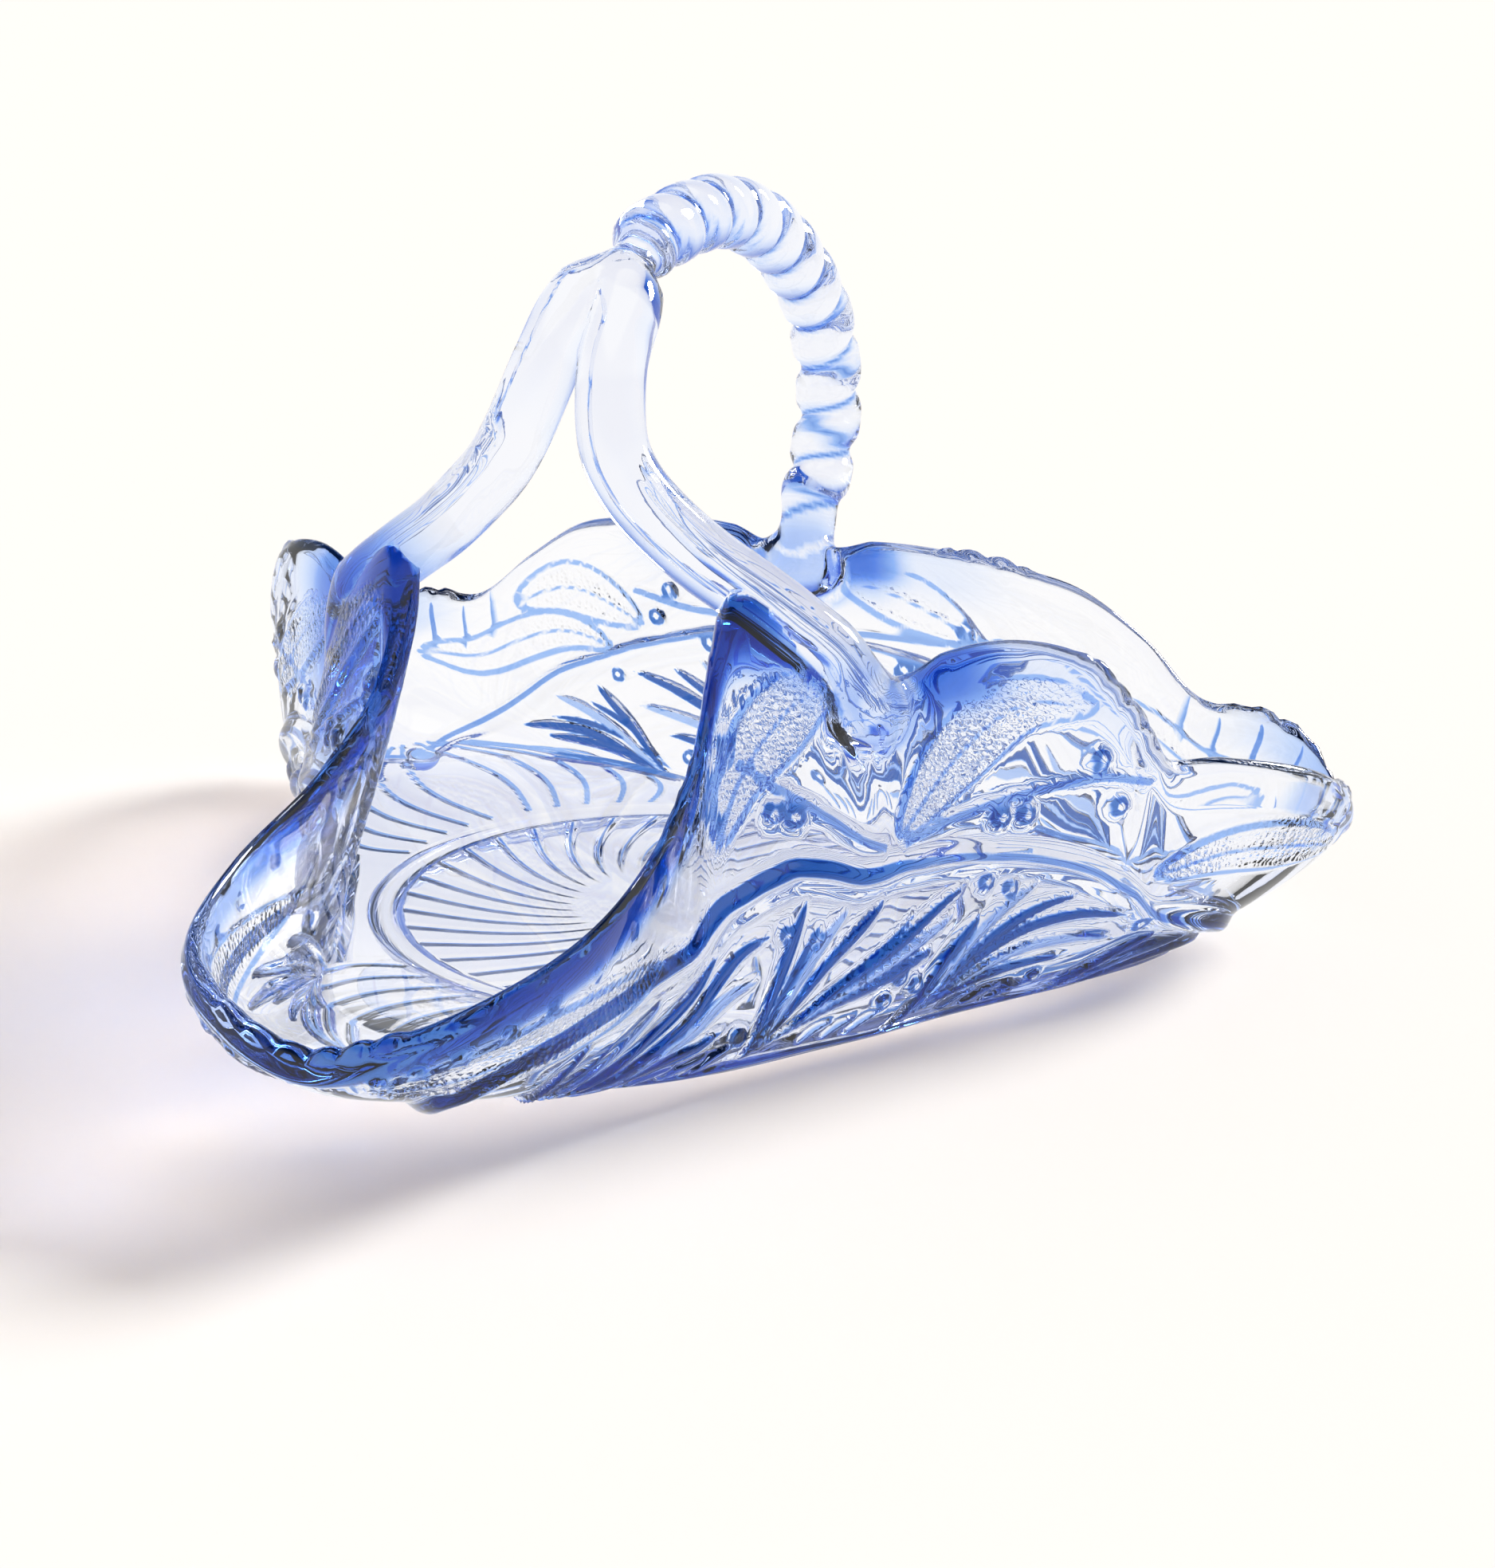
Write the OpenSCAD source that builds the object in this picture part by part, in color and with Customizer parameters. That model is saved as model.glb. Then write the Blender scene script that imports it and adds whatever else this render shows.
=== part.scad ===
// Pressed-glass basket: a three-cornered footed bowl with a scalloped rim and
// a fixed three-legged handle, all one piece of pale blue glass.
// Frame: millimetres, Z up, table at z = 0, origin at the centre of the foot.
// -Y is the front spout, between the two smooth legs of the handle.
// +Y is the back, where the single twisted leg stands.

/* [Overall size] */
// Height from the table to the top of the handle
overall_h = 115; // [95:1:140]
// Distance from the axis to the tip of each spout
spout_r = 105; // [86:0.5:127]
// Height of the spout tips above the table
spout_z = 18.5; // [14:0.5:28]
// Distance from the axis to the rim under the two front legs
root_r = 48.7; // [43:0.1:54]
// Distance from the axis to the rim under the back leg
back_root_r = 45.7; // [41:0.1:52]
// Height of the rim where the legs stand
root_z = 51.4; // [44:0.1:58]

/* [Body] */
// Outside diameter of the foot ring
foot_d = 94; // [80:1:100]
// Width of the foot ring
foot_w = 5; // [3:0.5:9]
// Gap between the table and the underside of the body
foot_h = 2.6; // [1.5:0.1:4]
// Distance from the axis to the lower edge of the body under a handle leg
belly_r = 55; // [50:0.5:60]
// Distance from the axis to the lower edge of the body under a spout
corner_r = 80; // [70:0.5:88]
// How much higher the underside is at the front spout than under the others
front_lift = 3.8; // [0:0.2:5]
// Thickness of the glass wall
wall_t = 3.6; // [3:0.1:5]
// Radius of the drop of glass under each spout
knob_r = 3.2; // [2:0.1:4]

/* [Pressed relief] */
// Width of the rib that bounds each panel of the body
rib_w = 3.8; // [2.4:0.2:5]
// Height of that rib above the wall
rib_h = 1.1; // [0.4:0.1:1.6]
// Thickening of the wall along the rim
roll_h = 0.7; // [0.2:0.1:1.2]
// Diameter of the beads along the rim
bead_d = 4.8; // [4:0.1:5.6]
// Beads round the tip of each spout
tip_beads = 7; // [3:2:9]
// Beads down the falling side of each lobe
lobe_beads = 4; // [2:1:5]

/* [Rim lobes] */
// Height of the side lobes above the rim at the leg roots
lobe_rise = 5; // [2:0.5:8]
// Height of the front ears that reach up to the smooth legs, above the roots
ear_rise = 14.5; // [11:0.5:16]
// Angle from a leg root to the notch between its two lobes, on the sides
notch_a = 35.7; // [33:0.1:38]
// Height of that notch above the table
notch_z = 37; // [33:0.5:41]

/* [Handle] */
// Diameter of the twisted back leg
twist_d = 10.8; // [9:0.1:12]
// Length of one turn of the twist
twist_pitch = 9; // [7:0.5:12]
// Depth of the groove of the twist
twist_depth = 1.1; // [0.5:0.1:1.6]
// Diameter of the two smooth front legs
leg_d = 9.6; // [8:0.1:11]
// Share by which a smooth leg widens where it melts into the rim
leg_flare = 0.18; // [0:0.02:0.3]
// Share by which the twisted leg widens there
twist_flare = 0.12; // [0:0.02:0.3]
// How far in front of the axis the handle forks
fork_y = 16.5; // [12:0.5:22]

/* [Hidden] */
glass = [0.72, 0.80, 0.96];
section_n = 120;           // sections round the bowl
inner_n = 8;               // steps down the inner face of the wall
below_n = 3;               // steps up the outer face below the panel rib
above_n = 4;               // steps up the outer face above it
leg_sides = 12;
top_z = overall_h - twist_d / 2 - 0.2;   // centre line at the top of the handle
spread = spout_r - root_r;
floor_r = foot_d / 2 - 2;
spouts = [-90, 30, 150];   // angle of the front, right and left spouts
roots = [330, 210, 90];    // angle of the right, left and back legs of the handle
bead_step = 1.05 * bead_d / spout_r * 180 / PI;   // angle between beads at a tip
lobe_step = 1.9;           // angle between beads on a falling lobe
front_fall = notch_a - 8;  // angle from a root where its lobes fall
back_fall = notch_a + 6;
bead_tilt = 20;

// Rim stations: angle from the nearest leg root, radius, height.
side_rim = [
    [0, root_r, root_z],
    [10, root_r + 1.8, root_z + 0.52 * lobe_rise],
    [20, root_r + 0.174 * spread, root_z + lobe_rise],
    [26, root_r + 0.325 * spread, root_z + 0.52 * lobe_rise],
    [31, root_r + 0.432 * spread, (root_z + notch_z) / 2 + 1],
    [notch_a, root_r + 0.485 * spread, notch_z],
    [41, root_r + 0.627 * spread, notch_z - 1.5],
    [47.6, root_r + 0.831 * spread, notch_z - 5.5],
    [54, root_r + 0.956 * spread, spout_z + 6.5],
    [60, spout_r, spout_z]
];
front_rim = [
    [0, root_r, root_z],
    [6, root_r + 0.8, root_z + 0.18 * ear_rise],
    [12, root_r - 0.7, root_z + 0.6 * ear_rise],
    [18, root_r - 2.2, root_z + 0.9 * ear_rise],
    [25, root_r - 3.2, root_z + ear_rise],
    [28.5, root_r - 1.2, root_z + 0.31 * ear_rise],
    [31, root_r + 4.3, root_z - 5.4],
    [35.7, root_r + 0.307 * spread, notch_z + 0.5],
    [41, root_r + 0.627 * spread, notch_z - 5.5],
    [47.6, root_r + 0.92 * spread, spout_z + 8.5],
    [54, root_r + 1.005 * spread, spout_z + 3.5],
    [60, spout_r, spout_z]
];
back_rim = [
    [0, back_root_r, root_z],
    [12, back_root_r + 2.3, root_z + 1.6],
    [24, root_r + 0.103 * spread, root_z + 1.1],
    [34, root_r + 0.272 * spread, root_z - 1.4],
    [40, root_r + 0.414 * spread, root_z - 4.4],
    [45, root_r + 0.556 * spread, notch_z + 3],
    [50, root_r + 0.671 * spread, notch_z - 5],
    [54, root_r + 0.822 * spread, notch_z - 6.5],
    [57, root_r + 0.929 * spread, spout_z + 8.5],
    [60, spout_r, spout_z]
];

// Rib over each panel: angle from the leg root, share of the height of the wall.
front_arch = [[0, 0.655], [8, 0.62], [17, 0.61], [24.5, 0.57], [30, 0.6], [36, 0.69],
    [41, 0.75], [46, 0.76], [51, 0.66], [56, 0.38], [60, 0.12]];
side_arch = [[0, 0.655], [8, 0.64], [17.5, 0.62], [24, 0.61], [31, 0.6], [38.5, 0.53],
    [45, 0.45], [52, 0.32], [60, 0.12]];
back_arch = [[0, 0.73], [10, 0.74], [19, 0.73], [32, 0.7], [42, 0.64], [50, 0.5],
    [55, 0.33], [60, 0.12]];

// Centre line of the twisted leg, from the fork over the top to the back rim.
twist_path = [
    [0, -fork_y, top_z - 3.1],
    [0, -fork_y / 4, top_z - 0.4],
    [0, 12, top_z],
    [0, 27, top_z - 3.9],
    [0, 40, top_z - 11.2],
    [0, 50.5, top_z - 21],
    [0, 55.2, top_z - 33.6],
    [0, 53.2, top_z - 44.2],
    [0, back_root_r + 1.8, root_z + 3.4],
    wall_middle(90, 0.9)
];
// Centre line of the right-hand smooth leg, from the fork to the rim.
leg_path = [
    [0, -fork_y, top_z - 3.1],
    [3.8, -fork_y - 8, top_z - 8.3],
    [4.9, -31, top_z - 15.1],
    [7.1, -35.2, top_z - 23.8],
    [10.1, -36, top_z - 29.3],
    [14.7, -35.5, root_z + 23.8],
    [20.7, -33.6, root_z + 18.6],
    [28, -31.1, root_z + 13.5],
    [34.9, -29.2, root_z + 8.4],
    [40.2, -26.6, root_z + 3.3],
    wall_middle(330, 0.9)
];

// Smooth curve through stations, where t[i][0] is the place along it.
function seg(t, a, i = 0) = i >= len(t) - 2 || a < t[i + 1][0] ? i : seg(t, a, i + 1);
function slope(t, i, c) = i == 0 || i == len(t) - 1 ? 0
    : (t[i + 1][c] - t[i - 1][c]) / (t[i + 1][0] - t[i - 1][0]);
function through(t, a, c) =
    let (i = seg(t, a), h = t[i + 1][0] - t[i][0], u = (a - t[i][0]) / h)
    (2 * u ^ 3 - 3 * u ^ 2 + 1) * t[i][c] + (u ^ 3 - 2 * u ^ 2 + u) * slope(t, i, c) * h
    + (3 * u ^ 2 - 2 * u ^ 3) * t[i + 1][c] + (u ^ 3 - u ^ 2) * slope(t, i + 1, c) * h;

// Angle from the nearest leg root: roots at 90, 210 and 330 degrees.
function turn(q) = q - 360 * floor(q / 360);
function from_root(q) = let (d = turn(q - 90) % 120) min(d, 120 - d);
function in_front(q) = let (w = turn(q + 90)) w <= 60 || w >= 300;
function at_side(q) = let (w = turn(q + 90)) w <= 120 || w >= 240;
function rim_of(q) = in_front(q) ? front_rim : at_side(q) ? side_rim : back_rim;
function arch_of(q) = in_front(q) ? front_arch : at_side(q) ? side_arch : back_arch;
// 0 under a leg root, 1 under a spout.
function towards_spout(q) = (1 - cos(3 * from_root(q))) / 2;

// Outer face of the wall as one cubic curve in the plane at angle q.
function wall_ctrl(q) =
    let (
        s = towards_spout(q), a = from_root(q), t = rim_of(q),
        r = through(t, a, 1), z = through(t, a, 2),
        b = belly_r + (corner_r - belly_r) * s ^ 1.3,
        zb = foot_h + 2 * s + (in_front(q) ? front_lift * s ^ 2 : 0)
    )
    [
        [b - 4, zb],
        [b + 3.5, zb + 0.4],
        [(1 - s) * (0.45 * b + 0.55 * r + 6) + s * (0.15 * b + 0.85 * r),
         zb + (z - zb) * (0.55 - 0.35 * s)],
        [r, z]
    ];
function cubic(c, u) =
    (1 - u) ^ 3 * c[0] + 3 * (1 - u) ^ 2 * u * c[1] + 3 * (1 - u) * u ^ 2 * c[2] + u ^ 3 * c[3];
function cubic_dir(c, u) =
    let (d = 3 * (1 - u) ^ 2 * (c[1] - c[0]) + 6 * (1 - u) * u * (c[2] - c[1])
        + 3 * u ^ 2 * (c[3] - c[2]))
    d / norm(d);
// A point at a share u of the way up the wall, depth behind its outer face.
function in_wall(c, u, depth) = let (d = cubic_dir(c, u)) cubic(c, u) + [-d[1], d[0]] * depth;
// Share and depth of each point up the outer face: plain below the rib, the rib
// as a flat band with sloping sides, plain above it, and the roll along the rim.
function outer_face(c, rib) =
    let (half = rib_w / 2 / norm(c[3] - c[0]), low = rib - half, high = rib + half, roll = 0.93)
    concat(
        [for (i = [0:below_n]) [low * i / below_n, 0]],
        [[rib - 0.5 * half, -rib_h], [rib + 0.5 * half, -rib_h]],
        [for (i = [0:above_n]) [high + (roll - high) * i / above_n, 0]],
        [[(1 + roll) / 2, -roll_h], [1, -0.3 * roll_h]]
    );
// One closed section: underside, outer face, rounded rim, inner face, floor.
function section(q) =
    let (c = wall_ctrl(q), rib = through(arch_of(q), from_root(q), 1))
    concat(
        [[floor_r, foot_h]],
        [for (p = outer_face(c, rib)) in_wall(c, p[0], p[1])],
        [in_wall(c, 1, 0.5 * wall_t) + cubic_dir(c, 1) * 0.45 * wall_t],
        [for (i = [inner_n:-1:0]) in_wall(c, i / inner_n, wall_t)],
        [[floor_r - 1, foot_h + wall_t]]
    );
function polar3(p, q) = [p[0] * cos(q), p[0] * sin(q), p[1]];

// A point halfway through the wall, at a share u of the way up its outer face.
function wall_middle(q, u) = polar3(in_wall(wall_ctrl(q), u, 0.5 * wall_t), q);

// Joins rings of equal length into the skin of a closed solid.
module skin(rings, closed = false) {
    n = len(rings);
    m = len(rings[0]);
    last = closed ? n - 1 : n - 2;
    polyhedron(
        points = [for (ring = rings) each ring],
        faces = concat(
            [for (i = [0:last], j = [0:m - 1])
                each [[i * m + j, i * m + (j + 1) % m, (i + 1) % n * m + j],
                      [(i + 1) % n * m + j, i * m + (j + 1) % m, (i + 1) % n * m + (j + 1) % m]]],
            closed ? [] : [[for (j = [m - 1:-1:0]) j], [for (j = [0:m - 1]) (n - 1) * m + j]]
        ),
        convexity = 10
    );
}

// The bowl: sections all round, closed by a flat underside and a flat floor.
module bowl() {
    secs = [for (k = [0:section_n - 1]) let (q = 360 * k / section_n)
        [for (p = section(q)) polar3(p, q)]];
    m = len(secs[0]);
    under = section_n * m;
    color(glass) polyhedron(
        points = concat([for (s = secs) each s], [[0, 0, foot_h], [0, 0, foot_h + wall_t]]),
        faces = [for (i = [0:section_n - 1]) let (k = (i + 1) % section_n) each concat(
            [for (j = [0:m - 2]) each [[i * m + j, i * m + j + 1, k * m + j],
                                       [k * m + j, i * m + j + 1, k * m + j + 1]]],
            [[under, i * m, k * m], [under + 1, k * m + m - 1, i * m + m - 1]]
        )],
        convexity = 10
    );
}

// The foot: a plain ring under the floor.
module foot() {
    color(glass) rotate_extrude($fn = 96)
        translate([foot_d / 2 - foot_w, 0]) square([foot_w, foot_h + 0.5 * wall_t]);
}

// A drop of glass where the body ends under each spout.
module knobs() {
    for (q = spouts) color(glass) rotate(q)
        translate([corner_r, 0, foot_h + 0.75 * knob_r + (q == spouts[0] ? front_lift : 0)])
            rotate(77) sphere(r = knob_r, $fn = 32);
}

// Beads along the rim: round the tip of each spout, and down the falling side
// of each of the six lobes. Each is tilted, so that no facet lies on the wall's.
module bead(q) {
    translate(wall_middle(q, 1)) rotate([0, bead_tilt, q]) sphere(d = bead_d, $fn = 8);
}
module beads() {
    color(glass) {
        for (q = spouts, k = [0:tip_beads - 1]) bead(q + bead_step * (k - (tip_beads - 1) / 2));
        for (root = roots, side = [-1, 1], k = [0:lobe_beads - 1])
            bead(root + side * ((root == roots[2] ? back_fall : front_fall) + lobe_step * k));
    }
}

// Points along a path, and the length of the path up to each of them.
function on_path(p, u) =
    let (
        i = min(floor(u), len(p) - 2), f = u - i,
        a = p[max(i - 1, 0)], b = p[i], c = p[i + 1], d = p[min(i + 2, len(p) - 1)]
    )
    0.5 * (2 * b + (c - a) * f + (2 * a - 5 * b + 4 * c - d) * f ^ 2
        + (3 * b - a - 3 * c + d) * f ^ 3);
function path_points(p, per) =
    [for (k = [0:(len(p) - 1) * per]) on_path(p, k / per)];
function lengths(p) = [for (i = 0, s = 0; i < len(p);
    s = s + (i < len(p) - 1 ? norm(p[i + 1] - p[i]) : 0), i = i + 1) s];
function along(p, i) = let (d = p[min(i + 1, len(p) - 1)] - p[max(i - 1, 0)]) d / norm(d);

// A rod swept along a path; side lies across it, groove runs round it, and its
// last stretch widens by the share flare, then narrows to end inside the wall.
module rod(path, per, d, side, groove, pitch, flare) {
    p = path_points(path, per);
    s = lengths(p);
    skin([for (i = [0:len(p) - 1])
        let (
            t = along(p, i), x0 = cross(t, side), x = x0 / norm(x0), y = cross(t, x),
            left = s[len(p) - 1] - s[i],
            full = (left > 0.6 * d ? 1 : 0.3 + 0.7 * (left / d / 0.6) ^ 0.6)
                * (1 + flare * exp(-((left - 0.55 * d) / 0.6 / d) ^ 2))
        )
        [for (j = [0:leg_sides - 1])
            let (
                a = -360 * j / leg_sides,
                r = full * d / 2 - full * groove * ((1 + cos(a - 360 * s[i] / pitch)) / 2) ^ 3
            )
            p[i] + r * (cos(a) * x + sin(a) * y)]]);
}

// The twisted back leg and the top of the handle.
module twisted_leg() {
    color(glass) rod(twist_path, 9, twist_d, [1, 0, 0], twist_depth, twist_pitch,
        twist_flare);
}

// The two smooth legs of the fork.
module smooth_legs() {
    for (m = [0, 1]) mirror([m, 0, 0]) color(glass)
        rod(leg_path, 2, leg_d, [0, 1, 0], 0, 10, leg_flare);
}

module glass_basket() {
    union() {
        bowl();
        foot();
        knobs();
        beads();
        twisted_leg();
        smooth_legs();
    }
}

glass_basket();
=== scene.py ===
"""Pressed-glass basket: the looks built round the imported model.

One closed piece of pale blue glass stands for the CAD node: a three-cornered
bowl with its pressed relief, the foot, the drops under the spouts and the
three-legged handle, joined into one skin. Sizes are in millimetres until a
mesh is made, and the frame is the CAD's: Z up, origin at the centre of the
foot, -Y towards the front spout, +Y towards the twisted leg. Angles are in
degrees, from +X towards +Y.
"""

import logging
import math
from dataclasses import dataclass, field
from enum import Enum

import bpy
import numpy as np
from mathutils import Matrix, Vector


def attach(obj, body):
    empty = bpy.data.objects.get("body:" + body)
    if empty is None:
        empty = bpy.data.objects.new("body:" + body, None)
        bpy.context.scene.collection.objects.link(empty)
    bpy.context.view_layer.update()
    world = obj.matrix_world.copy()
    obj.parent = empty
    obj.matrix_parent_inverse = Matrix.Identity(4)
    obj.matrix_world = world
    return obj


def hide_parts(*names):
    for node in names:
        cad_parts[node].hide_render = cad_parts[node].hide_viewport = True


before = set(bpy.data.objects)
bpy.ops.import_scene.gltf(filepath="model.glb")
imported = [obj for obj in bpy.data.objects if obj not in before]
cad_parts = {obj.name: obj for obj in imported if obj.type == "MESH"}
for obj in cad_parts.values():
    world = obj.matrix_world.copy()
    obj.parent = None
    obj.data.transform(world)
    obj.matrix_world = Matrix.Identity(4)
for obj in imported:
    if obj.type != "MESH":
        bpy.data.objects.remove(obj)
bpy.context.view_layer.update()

MM = 0.001
NODE = "glass_basket"
PIECE = "pressed_glass_basket"
LOG = logging.getLogger("basket")

# The angles of the front, the right and the left spout.
SPOUTS = (270.0, 30.0, 150.0)

# How far past its edge a motif still counts, in millimetres. A point with no
# motif near it lies this far outside one.
MARGIN = 1.2

# An angle with a share of a height, and the three numbers of a place or size.
Place = tuple[float, float]
Point = tuple[float, float, float]


class RootKind(Enum):
    """The leg of the handle over a panel of the bowl, by the angle of its root."""

    RIGHT = 330.0
    LEFT = 210.0
    BACK = 90.0


# How deep the blue is at the root of each leg, and how far from the root it
# ends, in millimetres: the tint of the thick glass there with painted shade
# over it, which makes the left root far deeper and wider than the others.
ROOT_BLUE_AND_SHADE: dict[RootKind, tuple[float, float]] = {
    RootKind.RIGHT: (0.42, 12.0), RootKind.LEFT: (0.85, 34.0), RootKind.BACK: (0.4, 12.0),
}


class Profile(Enum):
    """The cross-section of a raised line of the relief."""

    ROUND = "round"
    LEAF = "leaf"
    WEDGE = "wedge"
    MOULDING = "moulding"


def smooth(x: np.ndarray, low: float, high: float) -> np.ndarray:
    """Return 0 below low, 1 above high and 3t^2 - 2t^3 between."""
    t = np.clip((x - low) / (high - low), 0.0, 1.0)
    return t * t * (3.0 - 2.0 * t)


def from_root(q: np.ndarray) -> np.ndarray:
    """Return the angle from the nearest root of a leg to q, 0 to 60 degrees."""
    turn = np.mod(q - 90.0, 120.0)
    return np.minimum(turn, 120.0 - turn)


def from_front(q: np.ndarray) -> np.ndarray:
    """Return the angle from the front spout to q, 0 to 180 degrees."""
    return np.abs(np.mod(q - 90.0, 360.0) - 180.0)


def spun(rz: np.ndarray, q: np.ndarray) -> np.ndarray:
    """Turn (radius, height) in the plane at angle q into x, y, z."""
    a = np.radians(q)
    return np.stack([rz[..., 0] * np.cos(a), rz[..., 0] * np.sin(a), rz[..., 1]], -1)


def level(r: float, z: np.ndarray | float, q: np.ndarray) -> np.ndarray:
    """Return the points of radius r and height z at the angles q."""
    return spun(np.stack([r + 0.0 * q, z + 0.0 * q], -1), q)


def lengths(line: np.ndarray) -> np.ndarray:
    """Return the length of a line of points up to each of them."""
    return np.concatenate([[0], np.cumsum(np.linalg.norm(np.diff(line, axis=0), axis=1))])


def through(points: np.ndarray, u: np.ndarray) -> np.ndarray:
    """Return places on a smooth curve through points.

    Between b and c, with a before them, d after them and f the share of the
    way, it is half of 2b + (c - a) f + (2a - 5b + 4c - d) f^2
    + (3b - a - 3c + d) f^3.

    Args:
        points: The points, one row each.
        u: The places: k is the point k, and k + 0.5 is half-way to the next.

    Returns:
        One row for each place.
    """
    i = np.minimum(u.astype(int), len(points) - 2)
    f = (u - i)[:, None]
    a = points[np.maximum(i - 1, 0)]
    b, c = points[i], points[i + 1]
    d = points[np.minimum(i + 2, len(points) - 1)]
    return 0.5 * (
        2 * b + (c - a) * f + (2 * a - 5 * b + 4 * c - d) * f**2
        + (3 * b - a - 3 * c + d) * f**3
    )


def tube_faces(rings: int, sides: int) -> np.ndarray:
    """Return the triangles of a tube that two fans close.

    Args:
        rings: Rings of the tube, whose points come first, ring by ring.
        sides: Points of a ring.

    Returns:
        Indices of points, one row for each triangle. The middles of the first
        and the last ring are the two points after the rings.
    """
    k = np.arange((rings - 1) * sides)
    after = np.where(k % sides == sides - 1, k - sides + 1, k + 1)
    first = np.arange(sides)
    last = first + (rings - 1) * sides
    middle = np.full(sides, rings * sides)
    return np.concatenate([
        np.stack([k, after, k + sides], 1),
        np.stack([after, after + sides, k + sides], 1),
        np.stack([np.roll(first, -1), first, middle], 1),
        np.stack([last, np.roll(last, -1), middle + 1], 1),
    ])


@dataclass(frozen=True)
class RimLine:
    """The rim from a leg root to a spout, as stations that a curve passes.

    Args:
        stations: At each one, the angle from the root in degrees, the radius
            and the height.
    """

    stations: tuple[Point, ...]

    def at(self, angle: np.ndarray) -> np.ndarray:
        """Return radius and height at each angle from the root.

        A cubic piece runs between neighbouring stations, with the slope of the
        chord past each one, and no slope at either end.

        Args:
            angle: Angles from the root, 0 to 60 degrees.

        Returns:
            An array with one more axis, of length 2: radius and height.
        """
        table = np.array(self.stations)
        place, value = table[:, 0], table[:, 1:]
        slope = np.zeros_like(value)
        slope[1:-1] = (value[2:] - value[:-2]) / (place[2:] - place[:-2])[:, None]
        i = np.clip(np.searchsorted(place, angle, side="right") - 1, 0, len(place) - 2)
        step = (place[i + 1] - place[i])[..., None]
        u = (angle - place[i])[..., None] / step
        return (
            (2 * u**3 - 3 * u**2 + 1) * value[i]
            + (u**3 - 2 * u**2 + u) * slope[i] * step
            + (3 * u**2 - 2 * u**3) * value[i + 1]
            + (u**3 - u**2) * slope[i + 1] * step
        )


SIDE_RIM = RimLine((
    (0, 48.7, 51.4), (10, 50.5, 54), (20, 58.5, 56.4), (26, 67, 54),
    (31, 73, 45.2), (35.7, 76, 37), (41, 84, 35.5), (47.6, 95.5, 31.5),
    (54, 102.5, 25), (60, 105, 18.5),
))
FRONT_RIM = RimLine((
    (0, 48.7, 51.4), (6, 49.5, 54), (12, 48, 60.1), (18, 46.5, 64.5),
    (25, 45.5, 65.9), (28.5, 47.5, 55.9), (31, 53, 46), (35.7, 66, 37.5),
    (41, 84, 31.5), (47.6, 100.5, 27), (54, 105.3, 22), (60, 105, 18.5),
))
BACK_RIM = RimLine((
    (0, 45.7, 51.4), (12, 48, 53), (24, 54.5, 52.5), (34, 64, 50),
    (40, 72, 47), (45, 80, 40), (50, 86.5, 32), (54, 95, 30.5),
    (57, 101, 27), (60, 105, 18.5),
))


@dataclass
class Wall:
    """The bowl's wall: one cubic curve in the plane at each angle.

    Args:
        belly_r: Radius of the lower edge of the body under a leg root.
        corner_r: The same under a spout.
        foot_h: Gap between the table and the underside.
        front_lift: How much higher the underside is at the front spout.
        thickness: Thickness of the glass.
    """

    belly_r: float = 55.0
    corner_r: float = 80.0
    foot_h: float = 2.6
    front_lift: float = 3.8
    thickness: float = 3.6

    def control(self, q: np.ndarray) -> np.ndarray:
        """Return the four points that steer the curve at each angle.

        The first two lie at the lower edge, the third at the shoulder and the
        last at the rim. With a the angle from the root, the corner's share
        s = (1 - cos 3a) / 2 blends from the belly to the spout.

        Args:
            q: Angles round the bowl.

        Returns:
            An array with two more axes, of lengths 4 and 2: the points, and the
            radius and height of each.
        """
        a = from_root(q)
        front = from_front(q) <= 60.0
        side = from_front(q) <= 120.0
        rim = np.where(
            front[..., None], FRONT_RIM.at(a),
            np.where(side[..., None], SIDE_RIM.at(a), BACK_RIM.at(a)),
        )
        r, z = rim[..., 0], rim[..., 1]
        s = (1.0 - np.cos(np.radians(3.0 * a))) / 2.0
        b = self.belly_r + (self.corner_r - self.belly_r) * s**1.3
        low = self.foot_h + 2.0 * s + np.where(front, self.front_lift * s**2, 0.0)
        shoulder_r = (1 - s) * (0.45 * b + 0.55 * r + 6) + s * (0.15 * b + 0.85 * r)
        shoulder_z = low + (z - low) * (0.55 - 0.35 * s)
        points = ((b - 4, low), (b + 3.5, low + 0.4), (shoulder_r, shoulder_z), (r, z))
        return np.stack([np.stack(p, -1) for p in points], -2)

    def section(self, q: np.ndarray, u: np.ndarray) -> tuple[np.ndarray, np.ndarray]:
        """Return the curve in the plane at an angle.

        It is (1-u)^3 P0 + 3(1-u)^2 u P1 + 3(1-u) u^2 P2 + u^3 P3.

        Args:
            q: Angles round the bowl.
            u: Share of the way up the wall, from its lower edge to the rim.

        Returns:
            Radius and height of the curve there, and its unit direction.
        """
        c = self.control(q)
        u = np.asarray(u, float)[..., None]
        v = 1.0 - u
        p0, p1, p2, p3 = (c[..., k, :] for k in range(4))
        point = v**3 * p0 + 3 * v**2 * u * p1 + 3 * v * u**2 * p2 + u**3 * p3
        way = v**2 * (p1 - p0) + 2 * v * u * (p2 - p1) + u**2 * (p3 - p2)
        return point, way / np.linalg.norm(way, axis=-1, keepdims=True)

    def inward(self, q: np.ndarray, u: np.ndarray, depth: float) -> np.ndarray:
        """Return points in the glass, square to the outer face.

        Args:
            q: Angles round the bowl.
            u: Share of the way up the wall.
            depth: How far behind the outer face they lie.

        Returns:
            x, y and z of each.
        """
        point, way = self.section(q, u)
        across = np.stack([-way[..., 1], way[..., 0]], -1)
        return spun(point + across * depth, q)

    def middle(self, q: float, u: float) -> np.ndarray:
        """Return the point in the middle of the glass at angle q and share u."""
        return self.inward(np.array([q]), np.array([u]), self.thickness / 2)[0]


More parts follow.
